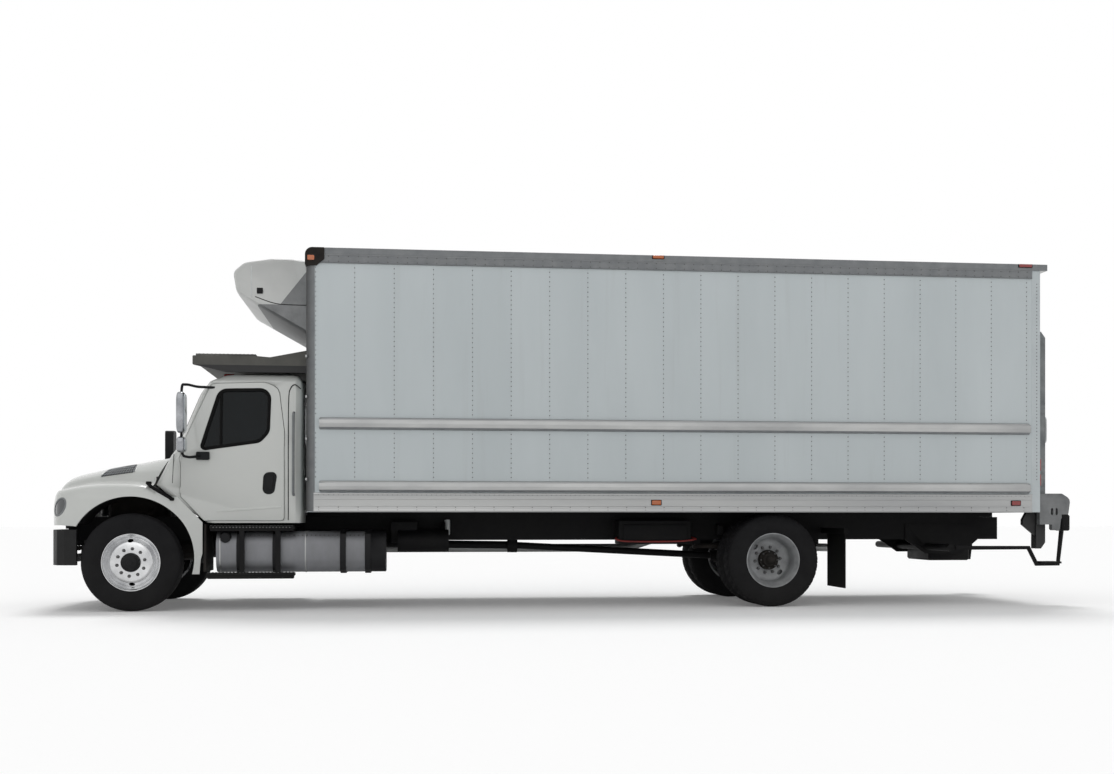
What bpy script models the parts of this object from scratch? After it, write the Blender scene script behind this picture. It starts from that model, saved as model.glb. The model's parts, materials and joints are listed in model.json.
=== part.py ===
"""Refrigerated box truck with a conventional cab, dual rear wheels and a rail lift gate.

Metres, +Z up. The truck faces -X, its left side is -Y, and the ground is z = 0.
Places along the truck are measured from the front axle, rearwards. An empty, the datum,
stands at the front axle, and every piece is parented to it or to an empty on its joint.
"""
import math

import bmesh
import bpy
from mathutils import Matrix, Vector

# Overall layout
WHEELBASE = 6.82
NOSE_OVERHANG = 0.88
BODY_START = 1.80
BODY_LENGTH = 8.04
BODY_WIDTH = 2.59
BODY_BOTTOM = 1.035
BODY_TOP = 3.79
DOCK_REACH = 0.365

# Fits
SEAT_GAP = 0.0003
MOVING_GAP = 0.006

# Chassis
FRAME_TOP = 0.985
RAIL_HEIGHT = 0.26
RAIL_HALF_WIDTH = 0.43
RAIL_FLANGE = 0.08
RAIL_WALL = 0.009
FRAME_START = -0.80
FRAME_REAR_GAP = 0.09
HANGER_DROP = 0.05
SPRING_HALF_SPAN = 0.70
SPRING_WIDTH = 0.075
SPRING_EYE_RADIUS = 0.028
FRONT_SPRING_Y = 0.40
REAR_SPRING_Y = 0.42

# Wheels and tyres
TYRE_RADIUS = 0.51
TYRE_WIDTH = 0.28
RIM_FLANGE_RADIUS = 0.298
RIM_SEAT_RADIUS = 0.284
RIM_WELL_RADIUS = 0.25
RIM_HALF_WIDTH = 0.115
BEAD_WIDTH = 0.018
FRONT_TYRE_Y = 1.03
REAR_OUTER_Y = 1.082
DUAL_SPACING = 0.336
REAR_DISC_DEPTH = 0.11
WHEEL_SIDES = 24
KINGPIN_Y = 0.84
KINGPIN_FOOT = 0.455
KINGPIN_HEAD = 0.575
SPINDLE_RADIUS = 0.042
BEAM_Z = 0.51
PINION_REACH = 0.34
SHAFT_Z = 0.70

# Cab
CAB_FRONT = 0.34
CAB_BACK = 1.735
CAB_FLOOR = 0.92
CAB_DECK = 1.06
TUNNEL_HALF_WIDTH = 0.50
CAB_HALF_WIDTH = 1.10
CAB_ROOF = 2.51
CAB_WALL = 0.05
BELT_Z = 1.70
TUMBLEHOME = 0.09
WINDSCREEN_BOW = 0.10
WINDSCREEN_FOOT_Z = 1.63
WINDSCREEN_HEAD_Z = 2.34
WINDSCREEN_FOOT_X = 0.33
WINDSCREEN_HEAD_X = 0.63
DOOR_BACK = 1.555
DOOR_FRONT = 0.498
GLASS_THICKNESS = 0.010
DASH_SEAT_Z = 1.40

# Hood
HOOD_PIVOT_X = -0.855
HOOD_PIVOT_Z = 0.885
HOOD_WALL = 0.030
ARCH_RADIUS = 0.64
ARCH_Z = 0.555
SEAM_TOP = (0.489, 1.195)
SEAM_FOOT = (0.735, 0.925)
COWL_FOOT = (0.180, 1.310)
COWL_HEAD = (0.316, 1.640)
TAIL_INNER_Y = 1.112
DOOR_HINGE_X = 0.495
DOOR_PINS = ((1.230, 1.290), (1.560, 1.620))
DOOR_PIN_RADIUS = 0.006

# Cargo body
WALL_THICKNESS = 0.055
FRONT_WALL_THICKNESS = 0.075
ROOF_THICKNESS = 0.070
FLOOR_THICKNESS = 0.110
TOP_RAIL_HEIGHT = 0.160
BOTTOM_RAIL_HEIGHT = 0.200
RAIL_STAND_OUT = 0.012
RUB_RAIL_DEPTH = 0.045
RUB_RAILS = ((1.9575, 0.125), (1.3025, 0.115))
REAR_FRAME_DEPTH = 0.10
REAR_POST_WIDTH = 0.10
REAR_HEADER_HEIGHT = 0.30
REAR_DOOR_INSET = 0.035
REAR_DOOR_THICKNESS = 0.045
DOOR_PANELS = 8

# Refrigeration unit and catwalk
UNIT_HALF_WIDTH = 0.98
UNIT_DEPTH = 0.78
CATWALK_FRONT = 0.60
CATWALK_HALF_WIDTH = 1.00
CATWALK_Z = 2.59

# Lift gate
COLUMN_Y = 1.14
COLUMN_WIDTH = 0.12
COLUMN_DEPTH = 0.11
COLUMN_WALL = 0.012
COLUMN_FOOT = 0.63
COLUMN_TOP = 3.06
SLOT_WIDTH = 0.055
PLATFORM_HALF_WIDTH = 0.99
PLATFORM_HEIGHT = 1.62
PLATFORM_THICKNESS = 0.05
PLATFORM_HINGE_X = 0.155
PLATFORM_HINGE_Z = 1.215
LUG_Y = 1.005

BODY_END = BODY_START + BODY_LENGTH
LENGTH = NOSE_OVERHANG + BODY_END + DOCK_REACH
FRONT_AXLE_X = NOSE_OVERHANG - LENGTH / 2
HALF_BODY = BODY_WIDTH / 2
FRAME_BOTTOM = FRAME_TOP - RAIL_HEIGHT
FRAME_END = BODY_END - FRAME_REAR_GAP
REAR_INNER_Y = REAR_OUTER_Y - DUAL_SPACING
HUB_BORE = SPINDLE_RADIUS / math.cos(math.pi / WHEEL_SIDES) + SEAT_GAP

PAINTS = {
    # name: (colour, roughness, metallic)
    "white_paint": ((0.86, 0.86, 0.84), 0.30, 0.0),
    "body_panel": ((0.66, 0.70, 0.71), 0.38, 0.1),
    "bare_aluminium": ((0.62, 0.62, 0.60), 0.38, 0.9),
    "polished_aluminium": ((0.80, 0.80, 0.80), 0.18, 1.0),
    "wheel_white": ((0.72, 0.73, 0.73), 0.40, 0.1),
    "chassis_black": ((0.025, 0.025, 0.027), 0.55, 0.2),
    "rubber": ((0.022, 0.022, 0.022), 0.85, 0.0),
    "dark_plastic": ((0.035, 0.036, 0.038), 0.60, 0.0),
    "gate_grey": ((0.20, 0.21, 0.22), 0.50, 0.5),
    "dark_glass": ((0.05, 0.06, 0.07), 0.08, 0.0),
    "lamp_glass": ((0.30, 0.32, 0.33), 0.12, 0.0),
    "seat_cloth": ((0.10, 0.10, 0.11), 0.90, 0.0),
    "cast_iron": ((0.08, 0.08, 0.085), 0.65, 0.6),
    "mirror_glass": ((0.55, 0.60, 0.65), 0.05, 1.0),
}

for old in list(bpy.data.objects):
    bpy.data.objects.remove(old, do_unlink=True)

truck = bpy.data.collections.new("refrigerated_truck")
cutters = bpy.data.collections.new("cutters")
bpy.context.scene.collection.children.link(truck)
bpy.context.scene.collection.children.link(cutters)


def add_empty(name, place, parent=None):
    empty = bpy.data.objects.new(name, None)
    empty.location = place
    empty.parent = parent
    empty.empty_display_size = 0.15
    truck.objects.link(empty)
    return empty


datum = add_empty("front_axle_datum", (FRONT_AXLE_X, 0, 0))


def paint(name):
    material = bpy.data.materials.get(name)
    if material is None:
        colour, roughness, metallic = PAINTS[name]
        material = bpy.data.materials.new(name)
        material.use_nodes = True
        shader = material.node_tree.nodes["Principled BSDF"]
        shader.inputs["Base Color"].default_value = (*colour, 1.0)
        shader.inputs["Roughness"].default_value = roughness
        shader.inputs["Metallic"].default_value = metallic
    return material


def place(name, shape, colour, pivot=None, smooth_angle=35):
    """Put a bmesh, given in places from the front axle, in the truck under its datum or pivot."""
    parent = datum
    if pivot is not None:
        bmesh.ops.translate(shape, verts=shape.verts, vec=-pivot.location)
        parent = pivot
    mesh = bpy.data.meshes.new(name)
    shape.to_mesh(mesh)
    shape.free()
    mesh.materials.append(paint(colour))
    if smooth_angle:
        mesh.shade_smooth()
        mesh.set_sharp_from_angle(angle=math.radians(smooth_angle))
    piece = bpy.data.objects.new(name, mesh)
    piece.parent = parent
    truck.objects.link(piece)
    return piece


def combine(piece, shapes, operation):
    """Add one Boolean modifier for each shape, whose own object waits in the cutters."""
    for number, shape in enumerate(shapes):
        mesh = bpy.data.meshes.new(f"{piece.name}_{operation.lower()}_{number}")
        shape.to_mesh(mesh)
        shape.free()
        tool = bpy.data.objects.new(mesh.name, mesh)
        tool.parent = datum
        tool.hide_render = True
        tool.display_type = "WIRE"
        cutters.objects.link(tool)
        modifier = piece.modifiers.new(f"{operation.lower()}_{number}", "BOOLEAN")
        modifier.operation = operation
        modifier.solver = "EXACT"
        modifier.object = tool
    return piece


def fuse(name, shapes, colour, pivot=None):
    piece = place(name, shapes[0], colour, pivot)
    return combine(piece, shapes[1:], "UNION")


def cut(piece, shapes):
    return combine(piece, shapes, "DIFFERENCE")


def brick(x0, x1, y0, y1, z0, z1, bevel=0.0):
    shape = bmesh.new()
    bmesh.ops.create_cube(shape, size=1.0)
    bmesh.ops.scale(shape, verts=shape.verts, vec=(x1 - x0, y1 - y0, z1 - z0))
    bmesh.ops.translate(shape, verts=shape.verts,
                        vec=((x0 + x1) / 2, (y0 + y1) / 2, (z0 + z1) / 2))
    if bevel:
        bmesh.ops.bevel(shape, geom=shape.edges[:], offset=bevel, segments=1,
                        affect="EDGES", profile=0.5)
    return shape


def rod(start, end, radius, sides=12, end_radius=None):
    start, end = Vector(start), Vector(end)
    shape = bmesh.new()
    bmesh.ops.create_cone(shape, cap_ends=True, segments=sides, radius1=radius,
                          radius2=radius if end_radius is None else end_radius,
                          depth=(end - start).length)
    turn = (end - start).to_track_quat("Z", "Y").to_matrix().to_4x4()
    bmesh.ops.transform(shape, verts=shape.verts,
                        matrix=Matrix.Translation((start + end) / 2) @ turn)
    return shape


def from_curve(curve):
    """The closed mesh of a curve, with its caps welded."""
    holder = bpy.data.objects.new("guide", curve)
    bpy.context.scene.collection.objects.link(holder)
    graph = bpy.context.evaluated_depsgraph_get()
    mesh = bpy.data.meshes.new_from_object(holder.evaluated_get(graph))
    bpy.data.objects.remove(holder, do_unlink=True)
    shape = bmesh.new()
    shape.from_mesh(mesh)
    bpy.data.meshes.remove(mesh)
    bmesh.ops.remove_doubles(shape, verts=shape.verts, dist=0.00005)
    return shape


def tube(route, radius, resolution=2, closed=False):
    """A bent tube along the points of a route."""
    curve = bpy.data.curves.new("route", "CURVE")
    curve.dimensions = "3D"
    curve.bevel_depth = radius
    curve.bevel_resolution = resolution
    curve.use_fill_caps = True
    spline = curve.splines.new("POLY")
    spline.points.add(len(route) - 1)
    for point, where in zip(spline.points, route):
        point.co = (*where, 1)
    spline.use_cyclic_u = closed
    shape = from_curve(curve)
    bmesh.ops.recalc_face_normals(shape, faces=shape.faces)
    return shape


# Columns of each matrix: the outline's first axis, its second axis and the extrusion
OUTLINE_AXES = {
    "X": Matrix(((0, 0, 1), (1, 0, 0), (0, 1, 0))),
    "Y": Matrix(((1, 0, 0), (0, 0, -1), (0, 1, 0))),
    "Z": Matrix(((1, 0, 0), (0, 1, 0), (0, 0, 1))),
}


def prism(outline, axis, low, high):
    """Extrude a flat outline along an axis: (y, z) along X, (x, z) along Y, (x, y) along Z."""
    curve = bpy.data.curves.new("outline", "CURVE")
    curve.dimensions = "2D"
    curve.fill_mode = "BOTH"
    curve.extrude = (high - low) / 2
    spline = curve.splines.new("POLY")
    spline.points.add(len(outline) - 1)
    for point, (u, v) in zip(spline.points, outline):
        point.co = (u, v, 0, 1)
    spline.use_cyclic_u = True
    shape = from_curve(curve)
    bmesh.ops.dissolve_limit(shape, angle_limit=0.001, verts=shape.verts, edges=shape.edges)
    middle = (low + high) / 2
    shift = {"X": (middle, 0, 0), "Y": (0, middle, 0), "Z": (0, 0, middle)}[axis]
    bmesh.ops.transform(shape, verts=shape.verts,
                        matrix=Matrix.Translation(shift) @ OUTLINE_AXES[axis].to_4x4())
    bmesh.ops.recalc_face_normals(shape, faces=shape.faces)
    return shape


def rounded(corners, steps=3):
    """Round the corners of an outline given as (u, v, radius)."""
    points = []
    count = len(corners)
    for index, (u, v, radius) in enumerate(corners):
        here = Vector((u, v))
        if radius <= 0:
            points.append(here)
            continue
        before = (Vector(corners[index - 1][:2]) - here).normalized()
        after = (Vector(corners[(index + 1) % count][:2]) - here).normalized()
        half = before.angle(after) / 2
        reach = radius / math.tan(half)
        centre = here + (before + after).normalized() * (radius / math.sin(half))
        start = here + before * reach - centre
        finish = here + after * reach - centre
        sweep = start.angle_signed(finish)
        for step in range(steps + 1):
            turn = Matrix.Rotation(-sweep * step / steps, 2)
            points.append(centre + turn @ start)
    return [tuple(point) for point in points]


def shrunk(outline, margin):
    """A convex outline drawn in by a margin on every side."""
    us = [u for u, v in outline]
    vs = [v for u, v in outline]
    middle = ((min(us) + max(us)) / 2, (min(vs) + max(vs)) / 2)
    scale = (1 - 2 * margin / (max(us) - min(us)), 1 - 2 * margin / (max(vs) - min(vs)))
    return [(middle[0] + (u - middle[0]) * scale[0], middle[1] + (v - middle[1]) * scale[1])
            for u, v in outline]


def loft(rings):
    """Join closed flat rings of equal length by triangles, and close both ends."""
    shape = bmesh.new()
    rows = [[shape.verts.new(point) for point in ring] for ring in rings]
    count = len(rows[0])
    for near, far in zip(rows, rows[1:]):
        for index in range(count):
            after = (index + 1) % count
            shape.faces.new((near[index], near[after], far[after], far[index]))
    bmesh.ops.triangulate(shape, faces=shape.faces[:], quad_method="FIXED")
    shape.faces.new(rows[0])
    shape.faces.new(rows[-1])
    bmesh.ops.recalc_face_normals(shape, faces=shape.faces)
    return shape


def turned(name, profile, colour, centre, pivot, side, sides=WHEEL_SIDES):
    """Turn a closed profile of (radius, offset) about the Y axis through centre.

    side is -1 on the left and 1 on the right: positive offsets point outwards."""
    mesh = bpy.data.meshes.new(name)
    area = sum(a[0] * b[1] - b[0] * a[1] for a, b in zip(profile, profile[1:] + profile[:1]))
    if area > 0:
        profile = profile[::-1]
    points = [(radius, 0, offset) for radius, offset in profile]
    edges = [(index, (index + 1) % len(points)) for index in range(len(points))]
    mesh.from_pydata(points, edges, [])
    mesh.materials.append(paint(colour))
    piece = bpy.data.objects.new(name, mesh)
    piece.parent = pivot
    piece.location = Vector(centre) - pivot.location
    piece.rotation_euler = (math.radians(90 if side < 0 else -90), 0, 0)
    truck.objects.link(piece)
    screw = piece.modifiers.new("turn", "SCREW")
    screw.axis = "Z"
    screw.steps = sides
    screw.render_steps = sides
    screw.use_merge_vertices = True
    screw.merge_threshold = 0.0001
    screw.use_smooth_shade = False
    return piece


SIDES = (("left", -1), ("right", 1))


def span(side, near, far):
    """The low and high Y of something between two distances from the middle."""
    return sorted((side * near, side * far))


# Chassis


def rail_section(side):
    outer = side * RAIL_HALF_WIDTH
    inner = side * (RAIL_HALF_WIDTH - RAIL_FLANGE)
    web = side * (RAIL_HALF_WIDTH - RAIL_WALL)
    return [(outer, FRAME_BOTTOM), (outer, FRAME_TOP), (inner, FRAME_TOP),
            (inner, FRAME_TOP - RAIL_WALL), (web, FRAME_TOP - RAIL_WALL),
            (web, FRAME_BOTTOM + RAIL_WALL), (inner, FRAME_BOTTOM + RAIL_WALL),
            (inner, FRAME_BOTTOM)]


def build_frame():
    rails = [prism(rail_section(side), "X", FRAME_START, FRAME_END) for name, side in SIDES]
    web = RAIL_HALF_WIDTH - RAIL_WALL / 2
    members = []
    # place along the truck, length, height below the rails' top
    for x, length, depth in ((-0.72, 0.08, 0.12), (1.38, 0.07, 0.10), (2.75, 0.07, 0.12),
                             (4.05, 0.09, 0.14), (5.40, 0.07, 0.12), (WHEELBASE - 0.50, 0.06, 0.09),
                             (WHEELBASE + 0.75, 0.07, 0.12), (8.85, 0.07, 0.12), (9.66, 0.08, 0.15)):
        top = FRAME_TOP - 0.020
        members.append(brick(x - length / 2, x + length / 2, -web, web, top - depth, top))
    hangers = []
    for axle, spring_y in ((0.0, FRONT_SPRING_Y), (WHEELBASE, REAR_SPRING_Y)):
        for end in (-1, 1):
            x = axle + end * SPRING_HALF_SPAN
            for name, side in SIDES:
                low, high = span(side, spring_y - 0.04, min(spring_y + 0.04, RAIL_HALF_WIDTH - 0.002))
                hangers.append(brick(x - 0.06, x + 0.06, low, high,
                                     FRAME_BOTTOM - HANGER_DROP, FRAME_BOTTOM + 0.004))
    air_tank = [rod((2.74, -0.60, 0.72), (3.30, -0.60, 0.72), 0.125, 16)]
    for x in (2.80, 3.24):
        air_tank.append(brick(x - 0.02, x + 0.02, -0.60, -RAIL_HALF_WIDTH + 0.004, 0.70, 0.92))
    mounts = []
    for name, side in SIDES:
        for x in (0.95, 1.58):
            mounts.append(brick(x, x + 0.12, *span(side, RAIL_HALF_WIDTH - 0.07, RAIL_HALF_WIDTH - 0.005),
                                FRAME_TOP - 0.004, CAB_DECK - CAB_WALL - SEAT_GAP))
        mounts.append(brick(HOOD_PIVOT_X - 0.005, FRAME_START + 0.10, *span(side, 0.26, 0.31),
                            0.855, HOOD_SLICES[0][5] - SEAT_GAP))
    return fuse("chassis_frame", rails + members + hangers + air_tank + mounts, "chassis_black")


def leaf_spring(axle_x, y, side, pad_top):
    """A leaf pack: a shallow bow whose ends hang under the frame's hangers."""
    eye_z = FRAME_BOTTOM - HANGER_DROP - SEAT_GAP - SPRING_EYE_RADIUS
    top = []
    bottom = []
    for step in range(7):
        share = step / 3 - 1
        x = axle_x + share * SPRING_HALF_SPAN
        bow = pad_top + (eye_z - pad_top) * abs(share) ** 1.6
        depth = 0.085 - 0.060 * abs(share)
        top.append((x, bow + 0.012))
        bottom.append((x, bow + 0.012 - depth))
    low, high = span(side, y - SPRING_WIDTH / 2, y + SPRING_WIDTH / 2)
    shapes = [prism(top + bottom[::-1], "Y", low, high)]
    for end in (-1, 1):
        x = axle_x + end * SPRING_HALF_SPAN
        shapes.append(rod((x, low + 0.004, eye_z), (x, high - 0.004, eye_z), SPRING_EYE_RADIUS, 8))
    return shapes


def build_front_axle():
    drop = [(-KINGPIN_Y, 0.49), (-0.62, 0.46), (-0.46, 0.44), (0.46, 0.44), (0.62, 0.46),
            (KINGPIN_Y, 0.49), (KINGPIN_Y, 0.55), (0.60, 0.545), (0.47, 0.525), (0.33, 0.525),
            (0.22, 0.505), (-0.22, 0.505), (-0.33, 0.525), (-0.47, 0.525), (-0.60, 0.545),
            (-KINGPIN_Y, 0.55)]
    shapes = [prism(drop, "X", -0.045, 0.045)]
    for name, side in SIDES:
        y = side * KINGPIN_Y
        shapes.append(rod((0, y, KINGPIN_FOOT), (0, y, KINGPIN_HEAD), 0.050, 14))
        shapes.append(brick(-0.09, 0.09, *span(side, FRONT_SPRING_Y - 0.05, FRONT_SPRING_Y + 0.05),
                            0.470, 0.531))
        shapes += leaf_spring(0.0, FRONT_SPRING_Y, side, 0.595)
    return fuse("front_axle", shapes, "cast_iron")


def build_rear_axle():
    banjo = bmesh.new()
    bmesh.ops.create_uvsphere(banjo, u_segments=12, v_segments=8, radius=0.215)
    bmesh.ops.scale(banjo, verts=banjo.verts, vec=(0.95, 0.75, 1.0))
    bmesh.ops.translate(banjo, verts=banjo.verts, vec=(WHEELBASE, 0, TYRE_RADIUS))
    shapes = [rod((WHEELBASE, -0.62, TYRE_RADIUS), (WHEELBASE, 0.62, TYRE_RADIUS), 0.070, 12),
              rod((WHEELBASE, -1.17, TYRE_RADIUS), (WHEELBASE, 1.17, TYRE_RADIUS), SPINDLE_RADIUS, WHEEL_SIDES),
              banjo,
              rod((WHEELBASE - PINION_REACH, 0, TYRE_RADIUS + 0.02), (WHEELBASE - 0.10, 0, TYRE_RADIUS + 0.02),
                  0.060, 12, 0.10)]
    for name, side in SIDES:
        shapes.append(brick(WHEELBASE - 0.09, WHEELBASE + 0.09,
                            *span(side, REAR_SPRING_Y - 0.05, REAR_SPRING_Y + 0.05),
                            TYRE_RADIUS + 0.02, 0.611))
        shapes += leaf_spring(WHEELBASE, REAR_SPRING_Y, side, 0.665)
    return fuse("rear_axle", shapes, "cast_iron")


def build_drive_line():
    block = brick(-0.42, 0.22, -0.29, 0.29, 0.58, 1.30, 0.04)
    feet = [brick(0.02, 0.12, -0.42, 0.42, FRAME_TOP + SEAT_GAP, FRAME_TOP + 0.05)]
    gearbox = rod((0.18, 0, SHAFT_Z), (1.22, 0, SHAFT_Z), 0.22, 12, 0.12)
    sump = brick(-0.30, 0.10, -0.20, 0.20, 0.555, 0.60)
    fuse("engine_and_gearbox", [block, gearbox, sump] + feet, "cast_iron")

    start = Vector((1.22 + SEAT_GAP, 0, SHAFT_Z))
    middle = Vector((4.05, 0, 0.66))
    end = Vector((WHEELBASE - PINION_REACH - SEAT_GAP, 0, TYRE_RADIUS + 0.02))
    along = (middle - start).normalized()
    back = (end - middle).normalized()
    shapes = [rod(start + along * 0.05, middle + along * 0.02, 0.045, 12),
              rod(middle - back * 0.02, end - back * 0.05, 0.039, 12),
              rod(start, start + Vector((0.09, 0, 0)), 0.070, 12),
              rod(middle - along * 0.05, middle + along * 0.06, 0.085, 12),
              rod(end - Vector((0.09, 0, 0)), end, 0.065, 12),
              brick(middle.x - 0.03, middle.x + 0.03, -0.11, 0.11, middle.z + 0.03,
                    FRAME_TOP - 0.020 - 0.14 - SEAT_GAP)]
    fuse("driveshaft", shapes, "chassis_black")


def build_bumper():
    # distance from the middle, place of the outer face
    face = ((0.0, -NOSE_OVERHANG), (0.45, -0.873), (0.80, -0.850), (1.02, -0.805),
            (1.13, -0.740), (1.165, -0.660), (1.165, -0.540))
    thickness = 0.055
    outer = [(x, -y) for y, x in reversed(face)] + [(x, y) for y, x in face[1:]]
    inner = []
    for x, y in reversed(outer):
        pull = thickness if abs(y) > 0.75 else 0.0
        inner.append((min(x + thickness, -0.540), y - math.copysign(min(pull, abs(y)), y)))
    shapes = [prism(outer + inner, "Z", 0.483, 0.850)]
    for name, side in SIDES:
        low, high = span(side, RAIL_HALF_WIDTH - 0.07, RAIL_HALF_WIDTH - 0.01)
        shapes.append(brick(-0.850, FRAME_START - SEAT_GAP, low, high, 0.70, 0.84))
    bumper = fuse("front_bumper", shapes, "dark_plastic")
    mouth = rounded(((-0.42, 0.57, 0.03), (0.42, 0.57, 0.03), (0.42, 0.70, 0.03), (-0.42, 0.70, 0.03)), 2)
    cut(bumper, [prism(mouth, "X", -0.95, -0.79)])


def tank_section(side):
    near, far = side * 0.475, side * 1.13
    outline = rounded(((near, 0.40, 0.08), (far, 0.40, 0.14), (far, 0.83, 0.14), (near, 0.83, 0.08)), 3)
    return outline


def exhaust_pipe():
    """The pipe runs inside the right rail, over the rear axle and out behind the wheel."""
    route = ((1.45, 0.60, 0.62), (1.62, 0.30, 0.62), (5.45, 0.28, 0.62), (5.92, 0.28, 0.765),
             (7.40, 0.28, 0.765), (7.76, 0.28, 0.62), (8.02, 0.58, 0.61), (8.24, 0.74, 0.58))
    shapes = [tube(route, 0.055, 1)]
    for x in (2.75, 5.40):
        top = FRAME_TOP - 0.020 - 0.12 - SEAT_GAP
        shapes.append(brick(x - 0.02, x + 0.02, 0.270, 0.300, 0.64, top))
    return shapes


def build_side_gear():
    tank_x0, tank_x1 = 0.86, 2.62
    shapes = [prism(tank_section(-1), "X", tank_x0, tank_x1)]
    for x in (1.10, 1.47, 2.17, 2.43):
        near, far = -0.4303 - SEAT_GAP, -1.145
        strap = rounded(((near, 0.385, 0.03), (far, 0.385, 0.14), (far, 0.845, 0.14),
                         (near, 0.845, 0.03)), 2)
        shapes.append(prism(strap, "X", x - 0.03, x + 0.03))
    fuse("fuel_tank", shapes, "bare_aluminium")

    # the right side carries the exhaust treatment box in the tank's place, and its pipe
    box = rounded(((0.475, 0.40, 0.04), (1.13, 0.40, 0.10), (1.13, 0.83, 0.10), (0.475, 0.83, 0.04)), 3)
    shapes = [prism(box, "X", 0.86, 1.72)]
    for x in (1.05, 1.53):
        shapes.append(brick(x - 0.03, x + 0.03, RAIL_HALF_WIDTH + SEAT_GAP, 0.60, 0.55, 0.80))
    shapes += exhaust_pipe()
    fuse("exhaust_system", shapes, "bare_aluminium")

    # tread height, depth from the outer edge, front and rear end
    for name, side in SIDES:
        shapes = []
        for z, near, far, x0, x1 in ((0.365, 1.075, 1.185, 0.765, 1.675), (0.855, 0.90, 1.185, 0.80, 1.675)):
            low, high = span(side, near, far)
            shapes.append(brick(x0, x1, low, high, z, z + 0.035, 0.006))
        for x in (1.13, 1.50):
            low, high = span(side, 1.150, 1.180)
            shapes.append(brick(x - 0.025, x + 0.025, low, high, 0.375, 0.880))
        for x in (0.815, 1.655):
            low, high = span(side, RAIL_HALF_WIDTH + SEAT_GAP, 1.175)
            shapes.append(brick(x - 0.012, x + 0.012, low, high, 0.858, 0.888))
        fuse(f"cab_steps_{name}", shapes, "chassis_black")


def build_mudflaps():
    x = 7.62
    for name, side in SIDES:
        low, high = span(side, 0.62, 1.22)
        flap = [(x, 0.20), (x + 0.012, 0.20), (x + 0.012, 0.84), (x, 0.84)]
        shapes = [prism(flap, "Y", low, high),
                  brick(x - 0.010, x + 0.035, *span(side, RAIL_HALF_WIDTH + SEAT_GAP, 1.22), 0.80, 0.86)]
        fuse(f"mudflap_{name}", shapes, "rubber")


# Wheels and steering


def tyre_profile():
    half = TYRE_WIDTH / 2
    seat = RIM_SEAT_RADIUS + SEAT_GAP
    bead = RIM_FLANGE_RADIUS + 0.012
    edge = RIM_HALF_WIDTH - BEAD_WIDTH - SEAT_GAP
    return [(seat, -edge), (bead, -RIM_HALF_WIDTH - 0.002), (0.400, -half), (TYRE_RADIUS, -half + 0.035),
            (TYRE_RADIUS, half - 0.035), (0.400, half), (bead, RIM_HALF_WIDTH + 0.002), (seat, edge)]


def front_wheel_profile():
    """One closed loop: the barrel, the crowned disc near the outer edge and the hub."""
    out, flange, seat = RIM_HALF_WIDTH, RIM_FLANGE_RADIUS, RIM_SEAT_RADIUS
    bore = HUB_BORE
    return [(flange, -out), (seat, -out + BEAD_WIDTH), (seat, out - BEAD_WIDTH), (flange, out),
            (0.280, out), (0.255, 0.075), (0.215, 0.108), (0.092, 0.120), (0.088, 0.165), (bore, 0.178),
            (bore, 0.012), (0.120, 0.012), (0.135, 0.096), (0.215, 0.088), (RIM_WELL_RADIUS, 0.030),
            (0.272, -out)]


def rear_wheel_profile():
    """Both rims and their shared disc as one loop, offsets from the outer tyre's middle."""
    out, flange, seat, well = RIM_HALF_WIDTH, RIM_FLANGE_RADIUS, RIM_SEAT_RADIUS, RIM_WELL_RADIUS
    gap = DUAL_SPACING
    bore = HUB_BORE
    outer = [(flange, -out), (seat, -out + BEAD_WIDTH), (seat, out - BEAD_WIDTH), (flange, out), (0.280, out),
             (well, 0.040), (0.215, -0.100), (0.110, -0.122), (0.100, -0.020), (bore, -0.004)]
    inner = [(bore, -gap - 0.02), (0.200, -gap - 0.02), (0.205, -gap + 0.100), (well - 0.010, -gap + 0.080),
             (0.280, -gap - out), (flange, -gap - out), (seat, -gap - out + BEAD_WIDTH),
             (seat, -gap + out - BEAD_WIDTH), (flange, -gap + out), (0.270, -gap + out + 0.003),
             (0.270, -out - 0.003)]
    return outer + inner


def hand_holes(centre, side, radius, length, count):
    shapes = []
    for number in range(count):
        angle = math.tau * number / count + math.pi / 2
        middle = Vector(centre) + Vector((math.cos(angle), 0, math.sin(angle))) * radius
        hole = rod(middle - Vector((0, length, 0)), middle + Vector((0, length, 0)), 0.026, 12)
        shapes.append(hole)
    return shapes


def build_wheels():
    for name, side in SIDES:
        steer = add_empty(f"steer_axis_{name}", (0, side * KINGPIN_Y, BEAM_Z), datum)
        wheel_spin = add_empty(f"front_spin_{name}", (0, side * FRONT_TYRE_Y, TYRE_RADIUS), datum)
        centre = (0, side * FRONT_TYRE_Y, TYRE_RADIUS)
        turned(f"tyre_front_{name}", tyre_profile(), "rubber", centre, wheel_spin, side)
        rim = turned(f"wheel_front_{name}", front_wheel_profile(), "polished_aluminium", centre,
                     wheel_spin, side)
        cut(rim, hand_holes(centre, side, 0.238, 0.16, 2))
        build_knuckle(name, side, steer)

        rear_spin = add_empty(f"rear_spin_{name}", (WHEELBASE, side * REAR_OUTER_Y, TYRE_RADIUS), datum)
        for place_name, y in (("outer", REAR_OUTER_Y), ("inner", REAR_INNER_Y)):
            turned(f"tyre_rear_{place_name}_{name}", tyre_profile(), "rubber",
                   (WHEELBASE, side * y, TYRE_RADIUS), rear_spin, side)
        rim = turned(f"wheel_rear_{name}", rear_wheel_profile(), "wheel_white",
                     (WHEELBASE, side * REAR_OUTER_Y, TYRE_RADIUS), rear_spin, side)
        disc = (WHEELBASE, side * (REAR_OUTER_Y - REAR_DISC_DEPTH), TYRE_RADIUS)
        cut(rim, hand_holes(disc, side, 0.168, 0.050, 5))


TIE_ROD_X = 0.185
TIE_ROD_Z = 0.400
ARM_DROP = 0.032


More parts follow.
